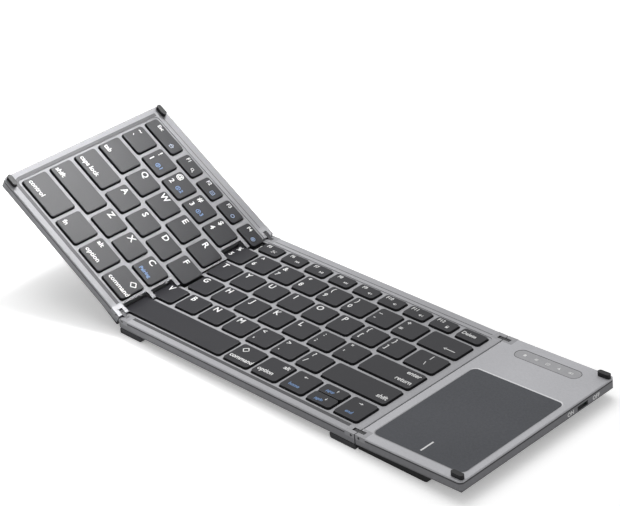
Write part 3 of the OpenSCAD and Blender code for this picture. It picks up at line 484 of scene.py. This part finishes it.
# the leaves' decks take the tones with painted shade and painted light
finishOf.update({"middle_case": "caseMiddle", "left_case": "caseLeft", "right_case": "caseRight",
                 "middle_feet": "foot", "left_deck": "deckLeftShaded", "right_deck": "deckRightLit"})
for name, obj in nodes.items():
    obj.data.materials.clear()
    obj.data.materials.append(finishes[finishOf[name]])
print("finishes made,", len(finishes))


# key caps: one profile carried round each key's rounded outline

capShape = {
    "flare": 0.30,          # the foot's spread beyond the top
    "lean": 0.8,            # share of the flare on the side wall, below the rounded edge
    "wall": 0.90,
    "topRadius": 1.50,      # corners seen from above
    "leastRadius": 0.20,    # corners of the rings furthest in
    "cornerSteps": 7,
    "edge": 0.34,           # radius where the top meets the sides
    "edgeSteps": 5,
    "flat": 0.15,           # ring inside the edge that keeps the top flat
    "smooth": 50.0,         # degrees
}


def capProfile(low, high):
    # distance in from the foot's outline and height, from the ceiling inside,
    # down the inner wall, across the foot, up the side and over the rounded edge
    s = capShape
    turn = np.linspace(0, math.pi / 2, s["edgeSteps"])
    edge, sideIn, sideTop = s["edge"], s["flare"] * s["lean"], high - s["edge"]
    inner = [[s["flare"] + s["wall"], high - s["wall"]], [s["wall"], low]]
    outer = [[0.0, low], [sideIn, sideTop]]
    over = np.stack([sideIn + edge * (1 - np.cos(turn)), sideTop + edge * np.sin(turn)], axis=1)
    flat = [[over[-1, 0] + s["flat"], high]]
    return np.concatenate([inner, outer, over[1:], flat])


def capPaint():
    # for each ring of the profile: how far it is a side wall in painted shade, and how far a rounded edge
    # with a painted highlight; the first four are the inner and outer wall, the last is the flat top
    arc = np.linspace(0, 1, capShape["edgeSteps"])[1:]
    side = np.concatenate([[1, 1, 1, 1], 1 - arc, [0]])
    edge = np.concatenate([[0, 0, 0, 0], np.sin(arc * math.pi) ** 2, [0]])
    return side, edge


def makeCaps(node):
    axes = keyAxes(node)
    boxes = solidBoxes(node, axes)
    side, edge = capPaint()
    points, faces, sides, edges = [], [], [], []
    for low, high in boxes:
        centre, half = (low[:2] + high[:2]) / 2, (high[:2] - low[:2]) / 2
        profile = capProfile(low[2], high[2])
        rings = []
        for inset, height in profile:
            radius = max(capShape["topRadius"] + capShape["flare"] - inset, capShape["leastRadius"])
            ring = roundedRing(half - inset, radius, capShape["cornerSteps"]) + centre
            rings.append(atHeight(ring, height))
        around = len(rings[0])
        start = sum(map(len, points))
        poles = np.array([[*centre, profile[0, 1]], [*centre, profile[-1, 1]]])
        points.append(np.concatenate([*rings, poles]))     # one pole closes the ceiling, one the top
        sides += [*np.repeat(side, around), 1, 0]
        edges += [*np.repeat(edge, around), 0, 0]
        quads = ringFaces(len(rings), around)
        a, b = np.arange(around), (np.arange(around) + 1) % around
        last, poleIn, poleOut = (len(rings) - 1) * around, len(rings) * around, len(rings) * around + 1
        fans = np.concatenate([np.column_stack([b, a, np.full(around, poleIn)]),
                               np.column_stack([last + a, last + b, np.full(around, poleOut)])])
        faces += [*(quads + start), *(fans + start)]
    obj = makePiece("caps_" + node, np.concatenate(points), faces, axes, bodyOf[node],
                    finishes["keys"], capShape["smooth"])
    addAttribute(obj, "side", "POINT", sides)
    addAttribute(obj, "edge", "POINT", edges)
    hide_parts(node)
    return boxes


# flat marks: words from the font, and signs drawn from bars, rings and outlines

markShape = {
    "thick": 0.02,
    "bold": 0.024,         # letters grow by this share of their height
    "curveSteps": 3,       # in a letter's curves
    "ringSteps": 20,
}


def wordMesh(text, size, align):
    # a word as a thin closed plate, x along the word and y up the letters
    curve = bpy.data.curves.new("word", "FONT")
    curve.body = text
    curve.size = size
    curve.extrude = markShape["thick"] / 2
    curve.offset = markShape["bold"] * size
    curve.resolution_u = markShape["curveSteps"]
    curve.align_x = align
    curve.align_y = "CENTER"
    obj = bpy.data.objects.new("word", curve)
    bpy.context.scene.collection.objects.link(obj)
    made = obj.evaluated_get(bpy.context.evaluated_depsgraph_get())
    mesh = made.to_mesh()
    points = np.array([v.co[:] for v in mesh.vertices])
    faces = [list(p.vertices) for p in mesh.polygons]
    made.to_mesh_clear()
    bpy.data.objects.remove(obj)
    bpy.data.curves.remove(curve)
    return points, faces


def plate(outline):
    # an outline, counter-clockwise, as a thin closed plate
    outline = np.asarray(outline, float)
    count = len(outline)
    half = markShape["thick"] / 2
    points = np.concatenate([atHeight(outline, z) for z in (-half, half)])
    a, b = np.arange(count), (np.arange(count) + 1) % count
    sides = np.column_stack([a, b, b + count, a + count])
    return points, [list(range(count))[::-1], list(range(count, 2 * count)), *map(list, sides)]


def bar(x0, y0, x1, y1, width):
    # a straight stroke as a plate
    along = np.array([x1 - x0, y1 - y0]) / math.hypot(x1 - x0, y1 - y0)
    side = np.array([-along[1], along[0]]) * width / 2
    ends = np.array([[x0, y0], [x1, y1]])
    return plate([ends[0] - side, ends[1] - side, ends[1] + side, ends[0] + side])


def ring(x, y, radius, width):
    # a circle of rectangular section: four circles joined in a closed band
    turn = np.linspace(0, 2 * math.pi, markShape["ringSteps"], endpoint=False)
    half = markShape["thick"] / 2
    inner, outer = radius - width / 2, radius + width / 2
    section = [(inner, half), (inner, -half), (outer, -half), (outer, half)]
    around = np.column_stack([np.cos(turn), np.sin(turn)])
    circles = [atHeight(around * r + [x, y], z) for r, z in section]
    return np.concatenate(circles), ringFaces(len(section), len(turn), closeRings=True)


def openBox(x0, y0, x1, y1, width):
    return [bar(x0, y0, x1, y0, width), bar(x1, y0, x1, y1, width), bar(x1, y1, x0, y1, width),
            bar(x0, y1, x0, y0, width)]


# each sign is drawn about its centre, mostly from -1 to 1, and grows with its spot's size
speaker = [plate([[-1.0, -0.3], [-0.6, -0.3], [-0.1, -0.75], [-0.1, 0.75], [-0.6, 0.3], [-1.0, 0.3]])]
signs = {
    "house": [bar(-1, 0, 0, 0.9, 0.25), bar(0, 0.9, 1, 0, 0.25), *openBox(-0.65, -0.8, 0.65, 0.1, 0.22)],
    "search": [ring(-0.2, 0.25, 0.6, 0.25), bar(0.25, -0.25, 0.9, -0.9, 0.3)],
    "panel": [*openBox(-0.9, -0.75, 0.9, 0.75, 0.25), bar(-0.5, 0, 0.5, 0, 0.25)],
    "circle": [ring(0, 0, 0.75, 0.3)],
    "globe": [ring(0, 0, 0.85, 0.25), bar(-0.8, 0, 0.8, 0, 0.18), bar(0, -0.8, 0, 0.8, 0.18),
              ring(0, 0, 0.42, 0.15)],
    "cut": [bar(-0.8, -0.5, 0.8, 0.7, 0.2), bar(-0.8, 0.5, 0.8, -0.7, 0.2), ring(-0.95, 0.55, 0.25, 0.15),
            ring(-0.95, -0.55, 0.25, 0.15)],
    "back": [bar(-0.95, -0.6, -0.95, 0.6, 0.25), plate([[-0.8, 0], [0, -0.6], [0, 0.6]]),
             plate([[0, 0], [0.8, -0.6], [0.8, 0.6]])],
    "play": [plate([[-0.9, -0.65], [0, 0], [-0.9, 0.65]]), bar(0.3, -0.6, 0.3, 0.6, 0.25),
             bar(0.75, -0.6, 0.75, 0.6, 0.25)],
    "next": [bar(0.95, -0.6, 0.95, 0.6, 0.25), plate([[0.8, 0], [0, 0.6], [0, -0.6]]),
             plate([[0, 0], [-0.8, 0.6], [-0.8, -0.6]])],
    "mute": [*speaker, bar(0.3, -0.4, 0.9, 0.4, 0.2), bar(0.3, 0.4, 0.9, -0.4, 0.2)],
    "quiet": [*speaker, bar(0.35, -0.35, 0.35, 0.35, 0.2)],
    "loud": [*speaker, bar(0.35, -0.35, 0.35, 0.35, 0.2), bar(0.8, -0.6, 0.8, 0.6, 0.2)],
    "lock": [plate([[-0.6, -0.8], [0.6, -0.8], [0.6, 0.15], [-0.6, 0.15]]), bar(-0.42, 0.1, -0.42, 0.6, 0.18),
             bar(0.42, 0.1, 0.42, 0.6, 0.18), bar(-0.42, 0.65, 0.42, 0.65, 0.2)],
    "diamond": [bar(-0.9, 0, 0, 0.9, 0.25), bar(0, 0.9, 0.9, 0, 0.25), bar(0.9, 0, 0, -0.9, 0.25),
                bar(0, -0.9, -0.9, 0, 0.25)],
    "left": [bar(-0.2, 0, 0.9, 0, 0.32), plate([[-1.0, 0], [-0.1, -0.6], [-0.1, 0.6]])],
    "right": [bar(-0.9, 0, 0.2, 0, 0.32), plate([[1.0, 0], [0.1, 0.6], [0.1, -0.6]])],
    "up": [bar(0, -0.9, 0, 0.1, 0.32), plate([[0, 1.0], [-0.6, 0.05], [0.6, 0.05]])],
    "down": [bar(0, 0.9, 0, -0.1, 0.32), plate([[0, -1.0], [0.6, -0.05], [-0.6, -0.05]])],
    "erase": [bar(-3.0, 0, 3.2, 0, 0.5), plate([[-4.0, 0], [-2.4, -0.95], [-2.4, 0.95]])],
    "battery": [*openBox(-1.1, -0.55, 0.9, 0.55, 0.22), bar(0.9, 0, 1.25, 0, 0.5), bar(-0.8, 0, 0.2, 0, 0.6)],
    "capital": [plate([[-0.9, -0.7], [0.9, -0.7], [0, 0.9]])],
    "radio": [ring(0, 0, 0.85, 0.28), bar(0, -0.5, 0, 0.5, 0.25), bar(-0.3, 0.2, 0.3, 0.2, 0.22)],
    "grid": [bar(-0.8, y, 0.8, y, 0.3) for y in (-0.5, 0, 0.5)],
    "page": [plate([[-0.7, -0.8], [0.7, -0.8], [0.7, 0.4], [0.3, 0.8], [-0.7, 0.8]])],
}

# where a mark stands on its key: share of the width, share of the depth, height of the
# letters or half the height of a sign, and how a word lines up there
spots = {
    "letter": (0.27, 0.76, 5.0, "CENTER"),
    "upper": (0.21, 0.78, 4.2, "CENTER"),
    "lower": (0.19, 0.34, 4.2, "CENTER"),
    "extra": (0.76, 0.33, 3.2, "CENTER"),
    "radio": (0.58, 0.33, 1.4, "CENTER"),
    "function": (0.27, 0.72, 3.0, "CENTER"),
    "tool": (0.72, 0.38, 1.3, "CENTER"),
    "word": (0.00, 0.27, 3.8, "LEFT"),
    "wordUp": (0.00, 0.79, 3.8, "LEFT"),
    "wordRight": (1.00, 0.29, 3.8, "RIGHT"),
    "wordRightUp": (1.00, 0.79, 3.8, "RIGHT"),
    "wordMiddle": (0.00, 0.52, 3.2, "LEFT"),
    "sign": (0.76, 0.72, 2.1, "CENTER"),
    "signLeft": (0.30, 0.74, 2.1, "CENTER"),
    "arrow": (0.46, 0.78, 1.3, "CENTER"),
    "blueWord": (0.45, 0.24, 2.9, "CENTER"),
    "halfArrow": (0.62, 0.62, 1.0, "CENTER"),
    "halfWord": (0.42, 0.36, 2.5, "CENTER"),
    "slash": (0.52, 0.36, 3.5, "CENTER"),
    "slashUp": (0.52, 0.79, 3.5, "CENTER"),
    "eraser": (0.72, 0.31, 1.0, "CENTER"),
    "corner": (0.80, 0.40, 1.4, "CENTER"),
    "toolBlue": (0.72, 0.38, 1.3, "CENTER"),
}
wordMargin = {"LEFT": 1.3, "RIGHT": -1.3, "CENTER": 0}     # from the key's edge to a word
blueSpots = {"extra": 1.0, "radio": 1.0, "blueWord": 1.0, "halfWord": 1.0, "toolBlue": 0.8, "corner": 0.5}


def pairs(text):
    # "!1 @2" gives one key with ! above 1, then one with @ above 2
    return [[("upper", p[0]), ("lower", p[1])] for p in text.split()]


def letters(text):
    return [[("letter", c)] for c in text]


def functions(numbers, tools):
    return [[("function", "F" + str(n)), ("tool", t)] for n, t in zip(numbers, tools.split())]


leftNumbers = pairs("~` !1 @2 #3 $4")
for key, mark in zip(leftNumbers[1:4], "123"):
    key += [("extra", mark), ("radio", "radio")]
legendText = {
    "f_keys_left": [[("function", "Esc"), ("corner", "house")]] + [
        [("function", "F1"), ("tool", "search")], [("function", "F2"), ("toolBlue", "panel")],
        [("function", "F3"), ("toolBlue", "circle")], [("function", "F4"), ("toolBlue", "globe")]],
    "number_keys_left": leftNumbers,
    "tab": [[("word", "tab")]],
    "q_row_left": letters("QWER"),
    "caps_lock": [[("word", "caps lock")]],
    "a_row_left": letters("ASDF"),
    "shift_left": [[("word", "shift")]],
    "z_row_left": letters("ZX") + [[("letter", "C"), ("blueWord", "Pairing")]],
    "modifier_keys_left": [[("word", "control")], [("word", "fn")], [("wordUp", "alt"), ("word", "option")],
                           [("sign", "diamond"), ("word", "command")]],
    "f_keys_middle": functions(range(5, 13), "cut back play next mute quiet loud lock"),
    "delete": [[("wordMiddle", "Delete")]],
    "number_keys_middle": pairs("%5 ^6 &7 *8 (9 )0 _- +="),
    "backspace": [[("eraser", "erase")]],
    "t_row": letters("TYUIOP") + pairs("{[ }]") + [[("slash", "\\"), ("slashUp", "|")]],
    "g_row": letters("GHJKL") + pairs(":; \"'"),
    "enter": [[("wordRightUp", "enter"), ("wordRight", "return")]],
    "v_row": letters("VBNM") + pairs("<, >. ?/"),
    "shift_right": [[("wordRight", "shift")]],
    "space": [[]],
    "modifier_keys_right": [[("signLeft", "diamond"), ("word", "command")],
                            [("wordRightUp", "alt"), ("word", "option")]],
    "arrow_left": [[("arrow", "left"), ("blueWord", "home")]],
    "arrow_up": [[("halfArrow", "up"), ("halfWord", "pgup")]],
    "arrow_down": [[("halfArrow", "down"), ("halfWord", "pgdn")]],
    "arrow_right": [[("arrow", "right"), ("blueWord", "end")]],
}


def signAt(sign, size, place, blue=0.0):
    # a sign's parts, grown to size and moved to their place
    return [(points * [size, size, 1] + place, faces, blue) for points, faces in signs[sign]]


def joinMarks(name, parts, axes, body):
    # parts are (points, faces, blueness); they become one piece
    points, faces, blueness, count = [], [], [], 0
    for partPoints, partFaces, blue in parts:
        points.append(partPoints)
        faces += [[int(v) + count for v in f] for f in partFaces]
        blueness += [blue] * len(partFaces)
        count += len(partPoints)
    obj = makePiece(name, np.concatenate(points), faces, axes, body, finishes["paint"], smooth=0)
    addAttribute(obj, "blueness", "FACE", blueness)


def makeLegends(node, boxes):
    parts = []
    inset = capShape["flare"]
    for (low, high), marks in zip(boxes, legendText[node]):
        for spot, text in marks:
            shareX, shareY, size, align = spots[spot]
            left, right = low[0] + inset, high[0] - inset
            front, back = low[1] + inset, high[1] - inset
            x = left + shareX * (right - left) + wordMargin[align]
            place = np.array([x, front + shareY * (back - front), high[2] + markShape["thick"] / 2])
            blue = blueSpots.get(spot, 0.0)
            if text in signs:
                parts += signAt(text, size, place, blue)
            else:
                points, faces = wordMesh(text, size, align)
                parts.append((points + place, faces, blue))
    if parts:
        joinMarks("legends_" + node, parts, keyAxes(node), bodyOf[node])


keyBoxes = {}
for node in legendText:
    keyBoxes[node] = makeCaps(node)
    makeLegends(node, keyBoxes[node])
print("keys made,", len(keyBoxes))


# painted shade: a darker band on the rim beside the key beds, where the bed's step lies in shade, and a thin
# dark line along the back rims

bedLine = {
    "margin": 1.5,      # from the outermost keys to the bed's edge
    "corner": 2.5,      # radius of the bed's corner
    "steps": 8,
    "near": 0.05,       # the band's two sides, outwards from the bed's edge
    "far": 2.05,
    "lift": 0.004,      # above the deck
    "thick": 0.02,
    "clear": 0.4,       # to the hinge brackets and bumpers
}
backLine = {"near": 2.1, "far": 2.5}


def strip(path, inward, profile):
    # each path point carries a profile of four (distance inwards, height), and the ends are closed
    count, sides = len(path), len(profile)
    points = np.concatenate([atHeight(path + inward * a, z) for a, z in profile])
    k, side = np.meshgrid(np.arange(count - 1), np.arange(sides))
    a, b = side * count, (side + 1) % sides * count
    quads = np.stack([a + k, a + k + 1, b + k + 1, b + k], axis=-1).reshape(-1, 4)
    end = np.arange(sides) * count
    return points, np.concatenate([quads, [end, (end + count - 1)[::-1]]])


def cornerPath(frontRow, backRow, side, start):
    # along the front, a quarter turn (free - r + r cos t, front + r + r sin t), then along the
    # free end; side is +1 where the free end lies to the right
    margin, r = bedLine["margin"], bedLine["corner"]
    front = keyBoxes[frontRow][:, 0, 1].min() - margin
    back = keyBoxes[backRow][:, 1, 1].max() + margin
    free = (side * keyBoxes[frontRow][:, :, 0]).max() + margin
    turn = np.linspace(-math.pi / 2, 0, bedLine["steps"])
    corner = np.column_stack([free - r + r * np.cos(turn), front + r + r * np.sin(turn)])
    return np.concatenate([[[start, front]], corner, [[free, back]]])


def makeBedLine(name, deckNode, path, side, axes, body, span=bedLine):
    # the path runs with the bed on its left, for a free end to the right; side -1 mirrors it
    along = np.gradient(path, axis=0)
    along /= np.linalg.norm(along, axis=1)[:, None]
    inward = np.column_stack([-along[:, 1], along[:, 0]])
    low = sectionBox(deckNode, axes)[1][2] + bedLine["lift"]
    top = low + bedLine["thick"]
    profile = [(-span["far"], low), (-span["near"], low), (-span["near"], top), (-span["far"], top)]
    points, quads = strip(path, inward, profile)
    points[:, 0] *= side
    makePiece(name, points, outward(points, quads), axes, body, finishes["band"])


def makeBedLines():
    margin, clear = bedLine["margin"], bedLine["clear"]

    # the middle section, from hinge to hinge
    frontEnds, backEnds = (boxesAt("middle_brackets", middleAxes, end) for end in (-1, 1))
    front = keyBoxes["space"][0, 0, 1] - margin
    back = keyBoxes["f_keys_middle"][0, 1, 1] + margin
    frontPath = np.array([[frontEnds[0][1, 0] + clear, front], [frontEnds[-1][0, 0] - clear, front]])
    backPath = np.array([[backEnds[-1][0, 0] - clear, back], [backEnds[0][1, 0] + clear, back]])

    # the left leaf, mirrored: from the hinge round the free corner
    hingeFront, hingeBack = (boxesAt("left_brackets", leftAxes, end)[0][0, 0] for end in (-1, 1))
    bumper = boxesAt("left_bumpers", leftAxes, 1)[0][1, 0]
    leafPath = cornerPath("modifier_keys_left", "f_keys_left", -1, clear - hingeFront)
    leafBack = leafPath[-1, 1]
    leafBackPath = np.array([[-clear - bumper, leafBack], [clear - hingeBack, leafBack]])

    makeBedLine("bed_shade_middle", "middle_deck", frontPath, 1, middleAxes, "middle")
    makeBedLine("bed_shade_left", "left_deck", leafPath, -1, leftAxes, "left_leaf")
    makeBedLine("back_shade_middle", "middle_deck", backPath, 1, middleAxes, "middle", backLine)
    makeBedLine("back_shade_left", "left_deck", leafBackPath, -1, leftAxes, "left_leaf", backLine)


makeBedLines()
print("lines beside the beds made")


# right leaf: touchpad rim and mark, indicator window, switch words

padRim = {
    "gap": 0.02,         # from the pad to the rim, and from the pad's top down to the rim's inner edge
    "deep": 0.35,        # the rim's foot below the pad's top
    "opening": 0.28,     # from the pad to the deck's opening
    "wide": 0.38,        # what lies on the deck
    "crest": 0.2,        # from the pad to where the slope meets the flat top
    "low": 0.015,        # underside and top above the deck
    "top": 0.03,
    "radius": 3.0,
    "cornerSteps": 10,
    "glintFade": 4.0,     # the painted glint fades out over this distance from the back
}


def makePadRim():
    # a thin band between the pad and the deck, with a painted glint at its back: a sloping profile
    # carried round the pad, as distance out from the pad's outline and height
    low, high = sectionBox("touchpad", rightAxes)
    deckTop = sectionBox("right_deck", rightAxes)[1][2]
    centre, half = (low[:2] + high[:2]) / 2, (high[:2] - low[:2]) / 2
    r = padRim
    outer, foot = r["opening"] + r["wide"], high[2] - r["deep"]
    top, under = deckTop + r["top"], deckTop + r["low"]
    profile = [(r["gap"], high[2] - r["gap"]), (r["crest"], top), (outer, top), (outer, under),
               (r["opening"], under), (r["opening"], foot), (r["gap"], foot)]
    rings = [atHeight(roundedRing(half + out, r["radius"] + out, r["cornerSteps"]) + centre, height)
             for out, height in profile]
    points = np.concatenate(rings)
    faces = ringFaces(len(rings), len(rings[0]), closeRings=True)
    obj = makePiece("touchpad_rim", points, faces, rightAxes, "right_leaf", finishes["rim"])
    # painted glint: full at the pad's back, fading out towards the front
    glint = np.clip((points[:, 1] - high[1] + r["glintFade"]) / r["glintFade"], 0, 1)
    addAttribute(obj, "paintedGlint", "POINT", glint)


windowRing = {
    "wide": 0.3,
    "low": -0.04,         # underside and top, from the deck's top
    "top": 0.015,
    "short": 0.01,        # the ends' radius falls short of a half circle by this
    "cornerSteps": 12,
}
windowSigns = {
    "names": ("page", "grid", "panel", "capital", "battery"),
    "size": 1.05,
    "ends": 7.0,          # of the window's length, left free
    "pitches": 4.55,      # pitches in the rest
    "lift": 0.01,
}


def makeWindowRing():
    # a closed band of rectangular section round the window
    low, high = sectionBox("led_window", rightAxes)
    deckTop = sectionBox("right_deck", rightAxes)[1][2]
    centre, half = (low[:2] + high[:2]) / 2, (high[:2] - low[:2]) / 2
    w = windowRing
    profile = [(0.0, w["low"]), (w["wide"], w["low"]), (w["wide"], w["top"]), (0.0, w["top"])]
    rings = []
    for out, up in profile:
        outline = roundedRing(half + out, half[1] + out - w["short"], w["cornerSteps"]) + centre
        rings.append(atHeight(outline, deckTop + up))
    points = np.concatenate(rings)
    quads = outward(points, ringFaces(len(rings), len(rings[0]), closeRings=True))
    makePiece("window_ring", points, quads, rightAxes, "right_leaf", finishes["band"])


def makeWindowSigns():
    # one row of signs, spread evenly about the window's centre
    low, high = sectionBox("led_window", rightAxes)
    w = windowSigns
    pitch = (high[0] - low[0] - w["ends"]) / w["pitches"]
    middle = (len(w["names"]) - 1) / 2
    centre = (low + high) / 2
    parts = []
    for k, sign in enumerate(w["names"]):
        place = np.array([centre[0] + (k - middle) * pitch, centre[1], high[2] + w["lift"]])
        parts += signAt(sign, w["size"], place)
    joinMarks("window_signs", parts, rightAxes, "right_leaf")


padMark = {
    "start": 2.5,        # from the pad's front edge
    "end": 11.0,
    "wide": 0.9,
    "lift": 0.012,
}


def makePadMark():
    low, high = sectionBox("touchpad", rightAxes)
    middle, m = (low[0] + high[0]) / 2, padMark
    points, faces = bar(middle, low[1] + m["start"], middle, low[1] + m["end"], m["wide"])
    raised = points + [0, 0, high[2] + m["lift"]]
    joinMarks("touchpad_mark", [(raised, faces, 0.0)], rightAxes, "pad")


switchWords = {
    "places": {"ON": -5.2, "OFF": 13.2},     # from the knob's front end
    "size": 2.9,
    "lift": 0.01,
}


def makeSwitchWords():
    # on the end wall a word runs towards the back and its letters stand up along the wall
    knobLow, knobHigh = sectionBox("switch_knob", rightAxes)
    wallX = sectionBox("right_case", rightAxes)[1][0]
    wallAxes = rightAxes[[1, 2, 0]]
    height = (knobLow[2] + knobHigh[2]) / 2
    parts = []
    for text, along in switchWords["places"].items():
        points, faces = wordMesh(text, switchWords["size"], "CENTER")
        parts.append((points + [knobLow[1] + along, height, wallX + switchWords["lift"]], faces, 0.0))
    joinMarks("switch_words", parts, wallAxes, "right_leaf")


makePadRim()
makeWindowRing()
makeWindowSigns()
makePadMark()
makeSwitchWords()
print("right leaf dressed")


# floor, sky, lamps and camera

floorLook = {
    "half": 6.0,
    "drop": 0.0002,      # below the feet
    "grey": 0.95,
    "lighter": 1.02,     # in the lightest patches
    "patches": 400,      # mm
    "roughness": 0.9,
    "glow": 0.32,        # added for the camera alone, so that the paper looks white
}
skyForObject = 0.42      # strength of the white sky on the object; what is seen of it is 1


def makeFloor():
    half = floorLook["half"]
    corners = [(-half, -half, 0), (half, -half, 0), (half, half, 0), (-half, half, 0)]
    mesh = bpy.data.meshes.new("floor")
    mesh.from_pydata(corners, [], [(0, 1, 2, 3)])
    floor = bpy.data.objects.new("floor", mesh)
    bpy.context.scene.collection.objects.link(floor)
    floor.location.z = -floorLook["drop"]
    paper = Finish("floorPaper", {"Roughness": floorLook["roughness"], "Emission Color": (1, 1, 1, 1)})
    grey = floorLook["grey"]
    drift = paper.noise(floorLook["patches"], detail=1.0)
    paper.feed({"Base Color": paper.blend(drift, (grey,) * 3, (grey * floorLook["lighter"],) * 3),
                "Emission Strength": paper.node("LightPath", out="Is Camera Ray") * floorLook["glow"]})
    mesh.materials.append(paper.material)


def makeSky():
    world = bpy.data.worlds.new("studio")
    bpy.context.scene.world = world
    world.use_nodes = True
    sky = Nodes(world.node_tree)
    camera, glossy, through = (sky.node("LightPath", out="Is " + kind + " Ray")
                               for kind in ("Camera", "Glossy", "Transmission"))
    seen = (camera + glossy + through).join("MINIMUM", 1.0)
    background = sky.tree.nodes["Background"]
    background.inputs["Color"].default_value = (1, 1, 1, 1)
    plug(sky.tree, between(seen, (skyForObject, 1)), background.inputs["Strength"])


lamps = {
    "sheenBox": {"place": (-0.125, 0.19, 0.44), "target": (-0.15, -0.045, 0.05), "size": (0.2, 0.14),
                 "power": 0.185, "spread": 40},
    "topBox": {"place": (-0.4, 0.3, 1.3), "target": (0, 0, 0), "size": (1.0, 1.0),
               "power": 8.8, "spread": 180},
}


def makeLamp(name, place, target, size, power, spread):
    data = bpy.data.lights.new(name, "AREA")
    data.shape = "RECTANGLE"
    data.size, data.size_y = size
    data.energy = power
    data.spread = math.radians(spread)
    lamp = bpy.data.objects.new(name, data)
    bpy.context.scene.collection.objects.link(lamp)
    lamp.location = place
    lamp.rotation_mode = "QUATERNION"
    lamp.rotation_quaternion = (Vector(target) - Vector(place)).to_track_quat("-Z", "Y")


cameraLook = {
    "place": (0.65804, -0.60673, 0.54563),
    "azimuth": 46.704, "elevation": 29.213, "roll": -4.29,     # degrees
    "lens": 123.8, "sensor": 36.0,
    "nearest": 0.05, "furthest": 20,
}


def makeCamera():
    az, el, roll = (math.radians(cameraLook[k]) for k in ("azimuth", "elevation", "roll"))
    back = np.array([math.sin(az) * math.cos(el), -math.cos(az) * math.cos(el), math.sin(el)])
    level = np.array([math.cos(az), math.sin(az), 0])
    right = level * math.cos(roll) + np.cross(back, level) * math.sin(roll)
    up = np.cross(back, right)
    data = bpy.data.cameras.new("camera")
    data.lens = cameraLook["lens"]
    data.sensor_fit = "HORIZONTAL"
    data.sensor_width = cameraLook["sensor"]
    data.clip_start, data.clip_end = cameraLook["nearest"], cameraLook["furthest"]
    camera = bpy.data.objects.new("camera", data)
    bpy.context.scene.collection.objects.link(camera)
    turned = Matrix(np.column_stack([right, up, back]).tolist()).to_4x4()
    camera.matrix_world = Matrix.Translation(cameraLook["place"]) @ turned
    bpy.context.scene.camera = camera


makeFloor()
makeSky()
for name, lamp in lamps.items():
    makeLamp(name, **lamp)
makeCamera()
bpy.context.scene.view_settings.view_transform = "Standard"
print("stage ready")
